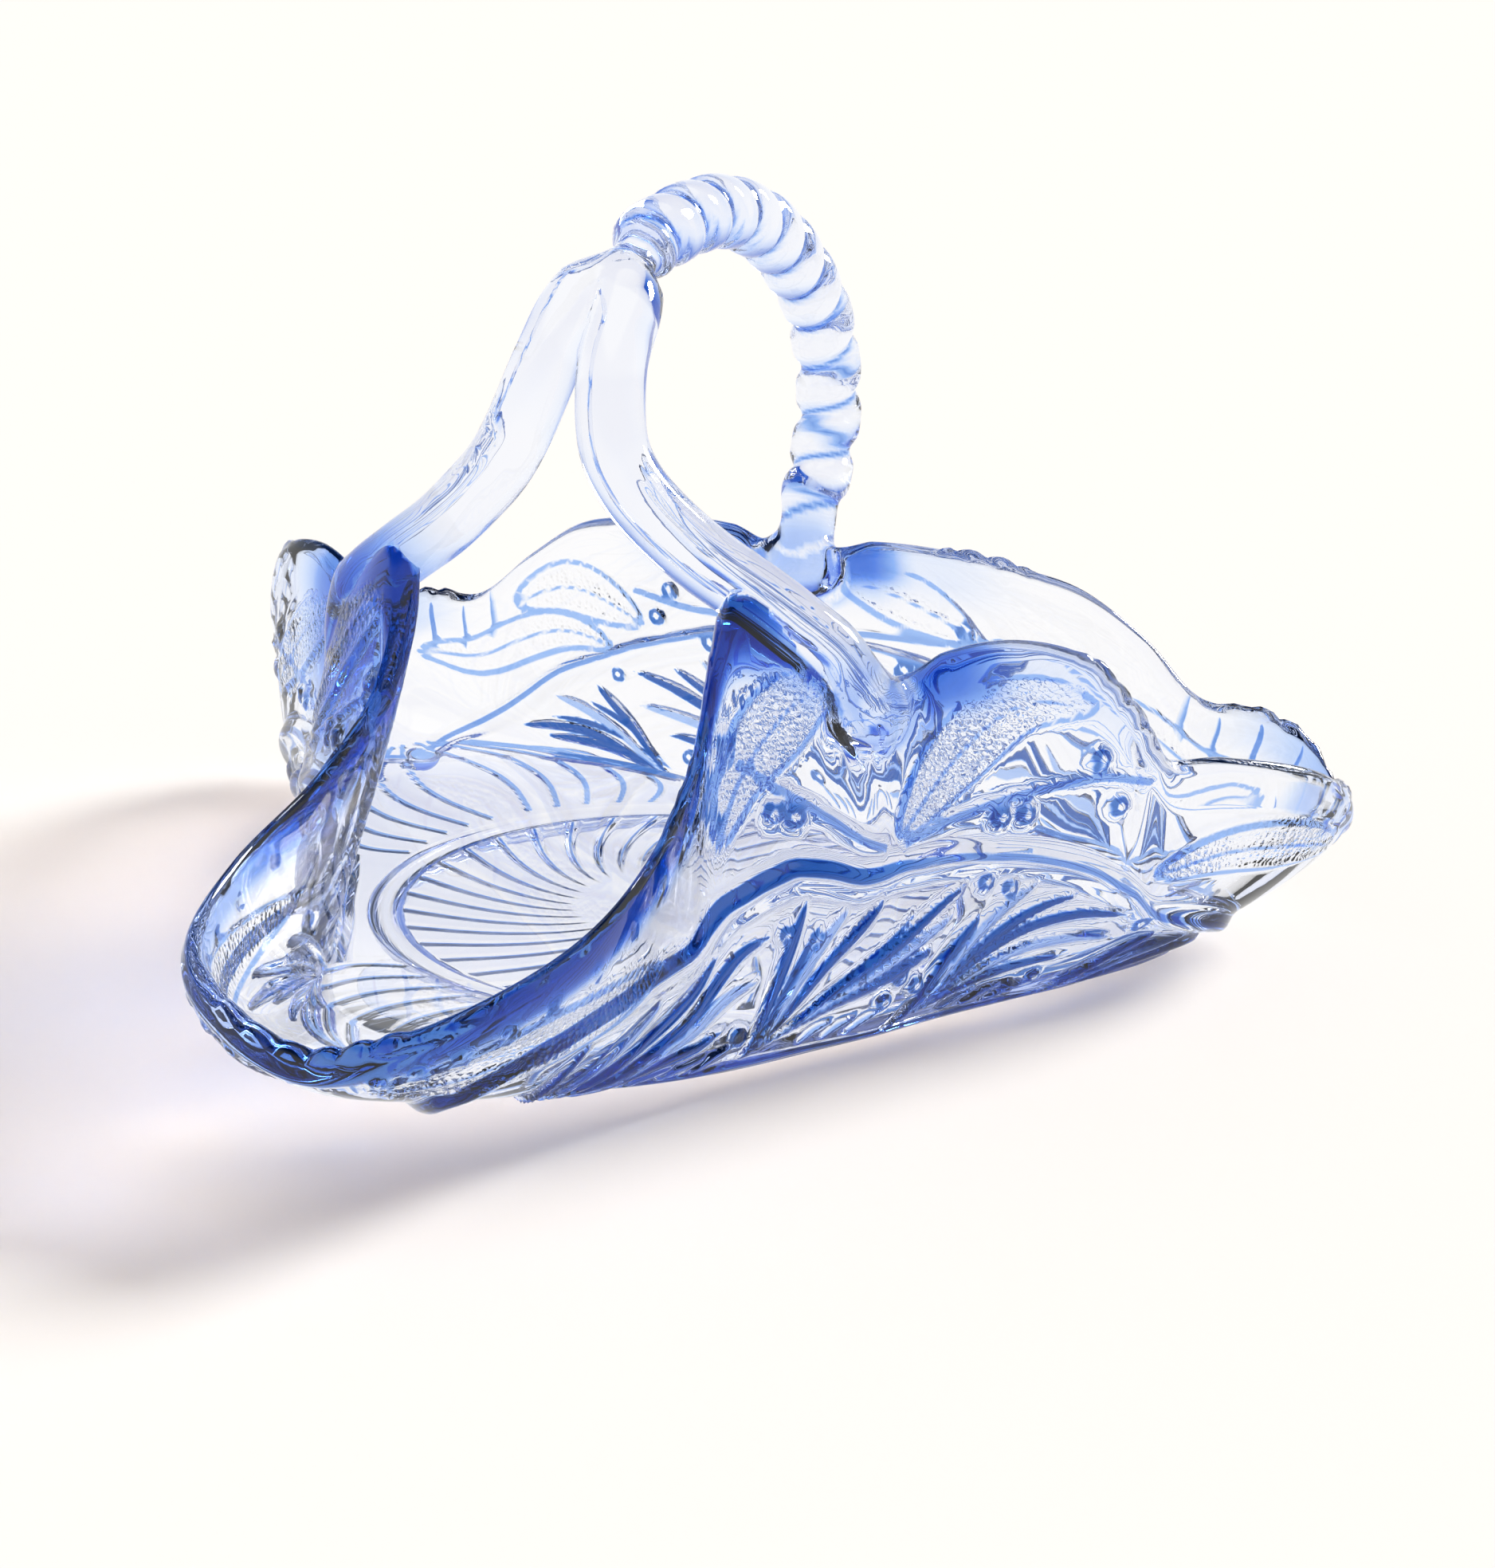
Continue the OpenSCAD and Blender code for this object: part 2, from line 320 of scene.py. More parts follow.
@dataclass
class Ridge:
    """A raised line of the relief along a path on the outer face.

    Args:
        path: Points of the line, one row each.
        half: Half-width at each point.
        high: Height at each point.
        profile: Its cross-section.
        stippled: Whether its top is covered with fine dots.
        deep: How deep the painted shade on it is at each point, from 0 to 1:
        the dark blue that its bent glass shows.
        core: Share of the half-width that is deep, at each point.
    """

    path: np.ndarray
    half: np.ndarray
    high: np.ndarray
    profile: Profile
    stippled: bool
    deep: np.ndarray
    core: np.ndarray

    def raise_at(self, points: np.ndarray) -> tuple[np.ndarray, ...]:
        """Return the relief of the ridge at the points that it covers.

        x is the distance to the line over the half-width, and side is x with
        a minus on the lower side. A round ridge and a moulding rise by
        (1 - x^2)^2 of their height. A wedge rises by 1 + side / 2 times that,
        so it leans to its upper side. A leaf is a pillow of half the square
        root of 1 - x^2, with a rib of 0.5 at x = 0.8 and one of 0.3 in the
        middle. The deep part of a ridge, where its painted shade lies, is its
        core; of a moulding only the upper side of it, which paints shade on that
        side, and of a leaf its outline and its middle rib, 1.08 and 0.76 mm wide.

        Args:
            points: Places on the outer face, one row each.

        Returns:
            Indices of the covered points, their heights, how far inside the
            deep part they lie in millimetres, their x and the depth of painted shade.
        """
        reach = self.half.max() + MARGIN
        near = np.flatnonzero(
            ((points > self.path.min(0) - reach) & (points < self.path.max(0) + reach)).all(1)
        )
        p = points[near][:, None, :]
        start, along = self.path[:-1], np.diff(self.path, axis=0)
        t = np.clip(((p - start) * along).sum(-1) / (along**2).sum(-1), 0.0, 1.0)
        off = p - start - t[..., None] * along
        gap = np.linalg.norm(off, axis=-1)
        half = self.half[:-1] + t * np.diff(self.half)
        x_all = gap / np.maximum(half, 1e-3)
        k = x_all.argmin(1)
        rows = np.arange(len(near))
        x = x_all[rows, k]
        high, deep, core = (
            (v[:-1] + t * np.diff(v))[rows, k] for v in (self.high, self.deep, self.core)
        )
        radial = points[near] * (1.0, 1.0, 0.0)
        upper = (np.cross(along[k], off[rows, k]) * radial).sum(-1) > 0
        wide = half[rows, k]
        inside = (x - 1.0) * wide < MARGIN
        x, high, near, upper, wide, deep, core = (
            v[inside] for v in (x, high, near, upper, wide, deep, core)
        )
        side = np.where(upper, x, -x)
        # Painted shade in the core of the ridge.
        depth = (core - x) * wide
        bell = np.clip(1.0 - x**2, 0.0, 1.0) ** 2
        match self.profile:
            case Profile.ROUND:
                rise = bell
            case Profile.MOULDING:
                rise = bell
                # Painted shade on the upper side of a moulding only.
                depth = np.minimum(core - x, side) * wide
            case Profile.LEAF:
                rise = 0.5 * np.sqrt(np.clip(1.0 - x**2, 0, 1))
                rise = rise + 0.5 * np.exp(-(((x - 0.8) / 0.16) ** 2)) * (x < 1)
                rise = rise + 0.3 * np.exp(-((x / 0.15) ** 2))
                # Painted shade along a leaf's outline and middle rib.
                depth = np.maximum(0.38 - x * wide, 0.54 - np.abs(x - 0.88) * wide)
            case Profile.WEDGE:
                rise = bell * (1.0 + 0.5 * side)
        return near, high * rise, depth, x, deep


@dataclass
class Berry:
    """A round berry with a ring of painted shade in it.

    Args:
        centre: Its middle on the outer face.
        radius: Its radius.
        high: Its height.
        blue: How deep the painted shade of the ring is.
        stippled: Whether its top is covered with fine dots.
    """

    centre: np.ndarray
    radius: float
    high: float
    blue: float = 0.9
    stippled: bool = False

    def raise_at(self, points: np.ndarray) -> tuple[np.ndarray, ...]:
        """Return the relief of the berry at the points near it.

        With x the distance from its middle over its radius, it rises by
        (1 - x^2)^0.8 of its height, and the ring of painted shade is where x is
        0.3 to 0.8.

        Args:
            points: Places on the outer face, one row each.

        Returns:
            The same five arrays as a ridge gives.
        """
        near = np.flatnonzero((np.abs(points - self.centre) < self.radius + 1.0).all(1))
        x = np.linalg.norm(points[near] - self.centre, axis=1) / self.radius
        rise = np.clip(1.0 - x**2, 0.0, 1.0) ** 0.8
        # Painted shade in a ring round the berry's top.
        depth = (0.25 - np.abs(x - 0.55)) * self.radius
        return near, self.high * rise, depth, x, np.full(len(near), self.blue)


@dataclass
class Relief:
    """The pattern pressed into the outer face by the mould.

    Args:
        wall: The wall that it is pressed into.
        ridges: Its raised lines.
        berries: Its berries.
    """

    wall: Wall
    ridges: list[Ridge] = field(default_factory=list)
    berries: list[Berry] = field(default_factory=list)

    def on_face(self, places: list[Place], count: int = 0) -> np.ndarray:
        """Return points on the outer face.

        Args:
            places: Angle and share of the way up the wall of each.
            count: If it isn't 0, the places are joined by a smooth curve, and
                the curve is cut into this many points.

        Returns:
            x, y and z, one row each.
        """
        table = np.array(places, float)
        if count:
            table = through(table, np.linspace(0, len(table) - 1, count))
        return self.wall.inward(table[:, 0], table[:, 1], 0.0)

    def line(
        self, places: list[Place], half: float, high: float,
        taper: float = 0.0, profile: Profile = Profile.ROUND, count: int = 24,
        deep: np.ndarray | float = 0.0, core: np.ndarray | float = 0.7,
    ) -> None:
        """Add a raised line.

        With t from 0 to 1 along it, its width is 1 - taper (1 - sin(pi t)^0.6)
        of the full one, and its height is the square root of that.

        Args:
            places: Angle and share of the way up of its points.
            half: Its half-width.
            high: Its height.
            taper: How much its ends are narrowed, from 0 to 1.
            profile: Its cross-section.
            count: Points of its path.
            deep: Depth of its painted shade, along all of it or at each point.
            core: Share of the half-width that is deep, in the same way.
        """
        path = self.on_face(places, count)
        t = np.linspace(0, 1, count)
        full = 1.0 - taper * (1.0 - np.sin(np.pi * t) ** 0.6)
        self.ridges.append(
            Ridge(path, half * full, high * full**0.5, profile, False, deep + 0 * t, core + 0 * t)
        )

    def vein(self, path: np.ndarray, half: float, high: float, deep: float) -> None:
        """Add a thin raised line.

        Args:
            path: Its points in space, one row each.
            half: Its half-width.
            high: Its height.
            deep: Its depth of painted shade.
        """
        size = np.full(len(path), 1.0)
        self.ridges.append(
            Ridge(path, half * size, high * size, Profile.ROUND, False, deep * size, 0.55 * size)
        )

    def leaf(
        self, places: list[Place], half: float, high: float, profile: Profile,
        stippled: bool = False, belly: float = 0.5, deep: float = 0.0,
    ) -> None:
        """Add a leaf, pointed at both of its ends.

        With t from 0 to 1 along it, bent so that belly comes to 0.5, its width
        is sin(pi t)^0.75 of the full one, and its height the 0.35th power of
        that.

        Args:
            places: Angle and share of the way up of points along its middle.
            half: Its greatest half-width.
            high: Its height.
            profile: Its cross-section.
            stippled: Whether its top is covered with fine dots.
            belly: Share of its length at which it is widest.
            deep: Its depth of painted shade.
        """
        count = 18
        path = self.on_face(places, count)
        t = np.linspace(0, 1, count)
        bent = t ** (math.log(0.5) / math.log(belly))
        full = np.sin(np.pi * bent) ** 0.75
        self.ridges.append(
            Ridge(
                path, np.maximum(half * full, 0.15), high * full**0.35, profile, stippled,
                deep + 0 * t, 0.62 + 0 * t,
            )
        )

    def berry(self, place: Place, radius: float, high: float) -> None:
        """Add a berry at an angle and a share of the way up."""
        self.berries.append(Berry(self.on_face([place])[0], radius, high))

    def apply(self, points: np.ndarray) -> tuple[np.ndarray, ...]:
        """Return the relief at points on the outer face.

        Where motifs overlap, the highest counts, and the one that a point
        lies deepest inside gives the colour.

        Args:
            points: Places on the outer face, one row each.

        Returns:
            The height, the share of stipple, the depth of painted shade of the
            motif there, and how far inside its deep part the point lies, in
            millimetres.
        """
        high, dots, deep = (np.zeros(len(points)) for _ in range(3))
        core = np.full(len(points), -MARGIN)
        for motif in (*self.ridges, *self.berries):
            near, rise, depth, x, blue = motif.raise_at(points)
            high[near] = np.maximum(high[near], rise)
            first = depth > core[near]
            core[near] = np.maximum(core[near], depth)
            deep[near[first]] = blue[first]
            if motif.stippled:
                dots[near] = np.maximum(dots[near], 1.0 - smooth(x, 0.6, 0.8))
        return high, dots, deep, core


# Height of the arch over each panel, as the share of the wall's height at an
# angle from the leg root, towards the front spout and towards a side spout.
FRONT_ARCH: tuple[Place, ...] = (
    (0, 0.655), (8, 0.62), (17, 0.61), (24.5, 0.57), (30, 0.60), (36, 0.69),
    (41, 0.75), (46, 0.76), (51, 0.66), (56, 0.38), (60, 0.12),
)
SIDE_ARCH: tuple[Place, ...] = (
    (0, 0.655), (8, 0.64), (17.5, 0.62), (24, 0.61), (31, 0.60), (38.5, 0.53),
    (45, 0.45), (52, 0.32), (60, 0.12),
)
BACK_ARCH: tuple[Place, ...] = (
    (0, 0.73), (10, 0.74), (19, 0.73), (32, 0.70), (42, 0.64), (50, 0.5),
    (55, 0.33), (60, 0.12),
)

# The lobes of the compound leaves of a panel: the base and the tips, as the
# angle from the leg root and the share of the way up to the arch.
FANS: tuple[tuple[Place, tuple[Place, ...]], ...] = (
    ((-50.0, 0.34), (
        (-41, 0.92), (-35, 0.9), (-28, 0.9), (-20.5, 0.85), (-22.5, 0.7), (-28.5, 0.52),
    )),
    ((-27.0, 0.24), (
        (-15, 0.93), (-8.5, 0.92), (-2.5, 0.93), (12, 0.92), (10, 0.81), (6.5, 0.69),
    )),
    ((-3.0, 0.2), ((14, 0.8), (21.5, 0.93), (26, 0.91), (32, 0.92), (31, 0.75), (26, 0.58))),
    ((24.0, 0.18), ((37, 0.9), (42, 0.9), (46, 0.8), (43, 0.6))),
)

# The berries between the leaves and the bases of the small leaves below them,
# in the same measures.
BERRIES: tuple[Place, ...] = (
    (-18.0, 0.83), (-13.5, 0.8), (-25.5, 0.46), (-22.5, 0.4), (14.5, 0.92), (17.8, 0.9),
    (0.5, 0.58), (3.5, 0.52), (-2.0, 0.47), (34.0, 0.92), (23.0, 0.44), (20.0, 0.36),
)
SMALL_LEAVES: tuple[Place, ...] = (
    (-16.5, 0.26), (-12.5, 0.26), (-8.5, 0.26), (-40.0, 0.26), (-36.0, 0.26), (-32.0, 0.26),
    (9.0, 0.26), (13.0, 0.26), (17.0, 0.24), (36.0, 0.26), (40.0, 0.28),
)

# The middle of the big leaf of each lobe of the rim, and the edge line and the
# berries under it, as the angle from the leg root and the share of the wall.
BACK_LEAVES: dict[int, tuple[Place, ...]] = {
    1: ((31, 0.78), (36, 0.84), (41, 0.89), (46, 0.92)),
    -1: ((-29, 0.83), (-22, 0.87), (-15, 0.9), (-8, 0.92)),
}
LEAF_BEFORE_ROOT: tuple[Place, ...] = ((-28, 0.72), (-22, 0.8), (-16, 0.88), (-10, 0.94))
LOBE_BERRIES: tuple[Place, ...] = ((16.5, 0.71), (19.5, 0.715), (26.5, 0.85), (28.5, 0.79))

# The leaves beside the middle of a spout, and the veins under it, as the angle
# from that middle.
SPOUT_LEAF: tuple[Place, ...] = ((25, 0.72), (18, 0.79), (11, 0.82), (5, 0.84))
VEINS = (-29.0, -22.5, -16.0, -10.0, -4.0, 4.0, 10.0, 16.0, 22.5, 29.0)


@dataclass
class Mould:
    """Draws the pattern on the three panels and three spouts of the bowl.

    Args:
        relief: The relief that it draws in.
        lobe_half: Half-width of a lobe of a compound leaf.
        lobe_high: Height of such a lobe.
        pearl_from: Angle from the middle of the front spout to the first of
            the pearls along its rim.
        pearl_to: The angle that they stop short of.
        pearl_step: The angle between two of them.
        pearl_up: Their share of the way up the wall.
    """

    relief: Relief
    lobe_half: float = 1.55
    lobe_high: float = 1.35
    pearl_from: float = 6.0
    pearl_to: float = 33.0
    pearl_step: float = 2.7
    pearl_up: float = 0.915

    def arch(self, root: RootKind, s: float) -> float:
        """Return the height of the arch.

        Args:
            root: The leg over the panel.
            s: Angle from its root.

        Returns:
            The share of the wall's height.
        """
        if root is RootKind.BACK:
            table = BACK_ARCH
        else:
            to_front = (s < 0) == (root is RootKind.RIGHT)
            table = FRONT_ARCH if to_front else SIDE_ARCH
        places = np.array(table)
        return float(np.interp(abs(s), places[:, 0], places[:, 1]))

    def place(self, root: RootKind, s: float, v: float) -> Place:
        """Return the angle and share of the wall's height of a place on a panel.

        Args:
            root: The leg over the panel.
            s: Angle from its root.
            v: 0 at the lower edge of the panel and 1 at its arch.

        Returns:
            The angle round the bowl and the share of the way up its wall.
        """
        return root.value + s, v * self.arch(root, s)

    def draw(self) -> Relief:
        """Draw everything.

        Returns:
            The relief.
        """
        for root in RootKind:
            self.arch_rib(root)
            self.sprays(root)
            for side in (-1, 1):
                self.lobe(root, side)
        for middle in SPOUTS:
            self.spout(middle)
        # Pearls along the front spout's rim, each with a ring of painted shade.
        for s in np.arange(self.pearl_from, self.pearl_to, self.pearl_step):
            for side in (-1, 1):
                self.relief.berry((SPOUTS[0] + side * s, self.pearl_up), radius=1.9, high=1.2)
        return self.relief

    def arch_rib(self, root: RootKind) -> None:
        """Draw the moulding over a panel and the two thin lines along its foot.

        Its painted shade is deeper, and its deep part wider, towards the front.

        Args:
            root: The leg over the panel.
        """
        reach = np.linspace(-59, 59, 60)
        places = [(root.value + s, self.arch(root, s)) for s in reach]
        along = np.linspace(-59, 59, 120)
        match root:
            case RootKind.RIGHT:
                front = 1.0 - smooth(along, -14, 8)
            case RootKind.LEFT:
                front = smooth(along, -8, 14)
            case RootKind.BACK:
                front = 0.0 * along
        # Painted shade along the moulding, deeper towards the front.
        self.relief.line(
            places, half=3.0, high=1.6, profile=Profile.MOULDING, count=len(along),
            deep=0.66 + 0.34 * front, core=0.4 + 0.42 * front,
        )
        for v in (0.06, 0.17):
            low = [self.place(root, s, v) for s in reach[8:-8]]
            # Painted shade along the thin line.
            self.relief.line(low, half=1.15, high=0.6, count=90, deep=0.85)

    def sprays(self, root: RootKind) -> None:
        """Draw the compound leaves, their berries and the small leaves below.

        A compound leaf is a fan of long lobes that share one base, with a
        narrower and shorter lobe between each two.

        Args:
            root: The leg over the panel.
        """
        for base, tips in FANS:
            between = [
                (0.5 * (a[0] + b[0]) - 1.5, 0.5 * (a[1] + b[1]) - 0.08)
                for a, b in zip(tips, tips[1:])
            ]
            for k, (s, v) in enumerate(tips + tuple(between)):
                main = k < len(tips)
                s0 = base[0] + 0.12 * (s - base[0])
                v0 = base[1] + 0.05 * (k % 6) * (v - base[1])
                middle = (s0 + 0.52 * (s - s0), v0 + 0.56 * (v - v0) + 0.02)
                # Painted shade on the lobes: full, but 0.45 on the second and fifth main lobes.
                self.relief.leaf(
                    [self.place(root, *p) for p in ((s0, v0), middle, (s, v))],
                    half=self.lobe_half if main else 0.6 * self.lobe_half,
                    high=self.lobe_high if main else 0.7, profile=Profile.WEDGE, belly=0.62,
                    deep=0.45 if main and k % 3 == 1 else 1.0,
                )
        for s, v in BERRIES:
            self.relief.berry(self.place(root, s, v), radius=1.75, high=1.0)
        for s, v in SMALL_LEAVES:
            # Painted shade on the small leaves, at half depth.
            self.relief.leaf(
                [self.place(root, *p) for p in ((s, v), (s + 2.6, v + 0.1), (s + 6.5, v + 0.16))],
                half=0.95, high=0.8, profile=Profile.ROUND, deep=0.5,
            )

    def lobe(self, root: RootKind, side: int) -> None:
        """Draw the big leaf, the edge line and the berries of a lobe of the rim.

        Both leaves of a front root lean the same way, so the one before the
        root climbs towards it and the one behind the root away from it.

        Args:
            root: The leg beside the lobe.
            side: 1 for the lobe behind its root, counted by the angle, and -1
                for the one before it.
        """
        q0 = root.value
        base = self.arch(root, 0) + 0.05
        if root is RootKind.BACK:
            spine = BACK_LEAVES[side]
        elif side > 0:
            spine = ((1, base + 0.02), (9, base + 0.11), (18, base + 0.2), (26, 0.93))
        else:
            spine = LEAF_BEFORE_ROOT
        # Painted shade on the big leaf, at half depth, and on the edge line.
        self.relief.leaf(
            [(q0 + s, u) for s, u in spine], half=5.4, high=1.1, profile=Profile.LEAF,
            stippled=True, belly=0.52, deep=0.5,
        )
        lift = 0.4 if root is RootKind.BACK else 1.0
        edge = [
            (q0 + side * s, base + rise * lift)
            for s, rise in ((2, 0.0), (15, 0.03), (24, 0.08), (32, 0.2))
        ]
        self.relief.line(edge, half=1.0, high=0.8, taper=0.15, deep=0.6)
        for s, u in LOBE_BERRIES:
            self.relief.berry((q0 + side * s, u), radius=2.1, high=1.1)

    def spout(self, middle: float) -> None:
        """Draw the veins, the two leaves and the fine tip ribs of a spout.

        Args:
            middle: The spout's angle.
        """
        for d in VEINS:
            self.under_vein(middle, d)
        for side in (-1, 1):
            # Painted shade on the leaves and the tip ribs.
            self.relief.leaf(
                [(middle + side * s, u) for s, u in SPOUT_LEAF],
                half=4.4, high=1.0, profile=Profile.LEAF, stippled=True, deep=0.5,
            )
            for s in np.arange(1.3, 14.0, 2.6):
                self.relief.line(
                    [(middle + side * s, 0.86), (middle + side * s, 0.99)],
                    half=0.8, high=0.5, taper=0.3, count=6, deep=0.7,
                )

    def under_vein(self, middle: float, d: float) -> None:
        """Draw a vein from the tip of a spout over its underside to the foot.

        It comes down the lowest 0.3 of the wall while it spreads from 0.25 of
        its angle to all of it, and then crosses to the foot, turned sideways
        by 2.5 degrees times the sine of the share of pi that it has run.

        Args:
            middle: The spout's angle.
            d: The vein's own angle from it at the foot.
        """
        share = np.linspace(0, 1, 16)
        path = self.relief.wall.inward(
            middle + d * (0.25 + 0.75 * share**0.8), 0.3 * (1.0 - share), 0.0
        )
        edge = path[-1]
        foot = level(48.5, self.relief.wall.foot_h, np.array(middle + d))
        t = np.linspace(0.1, 1, 8)
        bend = np.radians(2.5 * np.sin(np.pi * t) * np.sign(d))
        x, y, z = (edge + (foot - edge) * t[:, None]).T
        under = np.stack(
            [x * np.cos(bend) - y * np.sin(bend), x * np.sin(bend) + y * np.cos(bend), z], 1
        )
        # Painted shade along the vein.
        self.relief.vein(np.concatenate([path, under]), half=1.0, high=0.45, deep=0.55)


@dataclass
class Skin:
    """A closed mesh in millimetres.

    Args:
        verts: Points, one row each.
        faces: Triangles, one row each.
        dots: Share of stipple at each point.
        deep: Depth of the painted shade of the motif at each point.
        core: How far inside the deep part of the motif each point lies.
        tone: Depth of the blue painted apart from the motifs at each point:
        painted shade, with the tint of thick glass.
    """

    verts: np.ndarray
    faces: np.ndarray
    dots: np.ndarray
    deep: np.ndarray
    core: np.ndarray
    tone: np.ndarray

    @classmethod
    def plain(cls, verts: np.ndarray, faces: np.ndarray, tone: np.ndarray | float) -> "Skin":
        """Return a skin without relief."""
        none = np.zeros(len(verts))
        return cls(verts, faces, none, none, none - MARGIN, none + tone)

    def volume(self) -> float:
        """Return the signed volume inside: positive if the triangles face out."""
        a, b, c = (self.verts[self.faces[:, k]] for k in range(3))
        return float(np.einsum("ij,ij->i", a, np.cross(b, c)).sum() / 6.0)


@dataclass
class Bowl:
    """The bowl, its foot and its floor as one closed grid of rings.

    The rings run from the middle of the underside over the foot, the outer
    face, the rim and the inner face to the middle of the floor.

    Args:
        wall: The wall.
        relief: The pattern on it.
        columns: Points of a ring of the outer face.
        rows: Rings of the outer face.
        foot_r: Outer radius of the foot.
        foot_w: Width of the foot.
        floor_r: Radius of the flat floor.
        rays: How many rays the underside has.
        ray_high: How far they stand out.
        swirl: Angle by which a ray is turned at the middle.
        roll_high: How far the rolled edge under the rim stands out.
        bead_pitch: Length of the rim for one bead.
        bead_high: How far a bead stands out.
        verts: Points of each ring so far.
        rings: Their indices.
        marks: Their stipple, depth of painted shade, core and tone.
    """

    wall: Wall
    relief: Relief
    columns: int = 720
    rows: int = 77
    foot_r: float = 47.0
    foot_w: float = 5.0
    floor_r: float = 44.0
    rays: int = 36
    ray_high: float = 0.35
    swirl: float = 46.0
    roll_high: float = 0.75
    bead_pitch: float = 5.0
    bead_high: float = 1.15
    verts: list[np.ndarray] = field(default_factory=list)
    rings: list[np.ndarray] = field(default_factory=list)
    marks: list[np.ndarray] = field(default_factory=list)

    def ring(
        self, points: np.ndarray, dots: np.ndarray | float = 0.0,
        deep: np.ndarray | float = 0.0, core: np.ndarray | float = -MARGIN,
        tone: np.ndarray | float = 0.0,
    ) -> None:
        """Add one ring.

        Args:
            points: Its points, one row each.
            dots: Share of stipple, all round it or at each point.
            deep: Depth of the painted shade of the motif.
            core: How far inside the deep part of the motif it lies.
            tone: Depth of blue painted apart from the motif: painted shade, with
            the tint of thick glass.
        """
        start = sum(len(v) for v in self.verts)
        self.verts.append(points)
        self.rings.append(np.arange(start, start + len(points)))
        self.marks.append(
            np.stack([np.broadcast_to(v, len(points)) for v in (dots, deep, core, tone)])
        )

    def angles(self, count: int) -> np.ndarray:
        """Return count angles round the bowl."""
        return np.arange(count) * 360.0 / count

    def flat_ring(self, r: float, z: float, count: int) -> None:
        """Add a level ring of one radius."""
        self.ring(level(r, z, self.angles(count)))

    def rim_blue_and_shade(self, q: np.ndarray) -> np.ndarray:
        """Return how deep the blue of the rim is, most of it painted shade.

        It is painted shade over the tint of the rolled edge: deepest round the
        front spout, apart from a paler stretch on its left. Elsewhere it is deep
        on the lobes just beside the legs, paler at the tips of the two other
        spouts, and faint between.

        Args:
            q: Angles round the bowl.

        Returns:
            The depth at each, from 0 to 1.
        """
        a = from_root(q)
        front = from_front(q)
        others = (
            0.3 * (1 - smooth(a, 3, 9)) + 0.1 * (1 - smooth(a, 26, 36))
            + 0.55 * smooth(a, 5, 9) * (1 - smooth(a, 15, 21))
            + 0.34 * smooth(a, 50, 60)
        )
        ears = smooth(front, 24, 33) * (1 - smooth(front, 44, 49))
        paler = smooth(q, 245, 252) * (1 - smooth(q, 263, 271))
        spout = 0.9 * (1 - smooth(front, 38, 50)) * (1 - 0.6 * paler) + 0.1 * ears
        return np.maximum(spout, others)

    def underside(self) -> None:
        """Add the underside inside the foot, with its swirling rays.

        Rings of growing radius are turned by swirl (1 - r / rim)^1.2, so that
        the crest of every ray follows a column. A ray stands out by ray_high
        times the fifth power of (1 + cos) / 2, with one wave of the cosine to
        a ray, and fades out towards the middle.
        """
        rim = self.foot_r - self.foot_w
        for r, count in ((1.5, 90), (5, 90), (9, 180), (12, 360)):
            self.flat_ring(r, self.wall.foot_h, count)
        q = self.angles(self.columns)
        off = np.mod(q + 180.0 / self.rays, 360.0 / self.rays) - 180.0 / self.rays
        crest = (0.5 + 0.5 * np.cos(np.radians(q * self.rays))) ** 5
        for r in np.linspace(14.5, rim - 0.4, 9):
            turn = self.swirl * (1.0 - r / rim) ** 1.2
            fade = smooth(np.array(r), 14, 26)
            core = 0.35 * fade - 0.05 - np.abs(np.radians(off)) * r
            # Painted shade along the rays, fading towards the middle.
            self.ring(
                level(r, self.wall.foot_h - self.ray_high * crest * fade, q + turn),
                deep=0.75 * fade, core=np.maximum(core, -MARGIN),
            )

    def foot(self) -> None:
        """Add the foot ring, with small rounds at its edges."""
        inner, outer, h = self.foot_r - self.foot_w, self.foot_r, self.wall.foot_h
        for r, z in (
            (inner, h), (inner + 0.15, 0.7), (inner + 0.7, 0.0), (outer - 0.7, 0.0),
            (outer - 0.15, 0.7), (outer, h - 0.1), (outer + 0.6, h),
        ):
            self.flat_ring(r, z, self.columns // 2)

    def outside(self) -> None:
        """Add the underside beyond the foot and the outer face with its relief.

        The relief fades out at the lower edge and at the rim, where the rolled
        edge takes its place: it stands out by roll_high (1 - x^2), with x the
        distance from 0.965 of the way up over 0.055 of it.
        """
        q = self.angles(self.columns)
        edge, _ = self.wall.section(q, np.zeros_like(q))
        start = np.array([self.foot_r + 0.6, self.wall.foot_h])
        for t in np.linspace(0.08, 0.92, 11):
            flat = spun(start + (edge - start) * t, q)
            high, dots, deep, core = self.relief.apply(flat)
            self.ring(flat - high[:, None] * (0.0, 0.0, 0.5), dots, deep, core)
        share = np.linspace(0, 1, self.rows)
        qq, uu = np.meshgrid(q, share)
        face = self.wall.inward(qq, uu, 0.0)
        lifted = self.wall.inward(qq, uu, -1.0) - face
        high, dots, deep, core = (
            v.reshape(qq.shape) for v in self.relief.apply(face.reshape(-1, 3))
        )
        high = high * smooth(uu, 0.0, 0.03) * (1 - smooth(uu, 0.97, 1.0))
        roll = self.roll_high * np.clip(1 - ((uu - 0.965) / 0.055) ** 2, 0, 1)
        high = np.maximum(high, roll)
        # Painted shade near the rim.
        tone = self.rim_blue_and_shade(qq) * smooth(uu, 0.89, 0.95)
        for row in zip(face + lifted * high[..., None], dots, deep, core, tone):
            self.ring(*row)

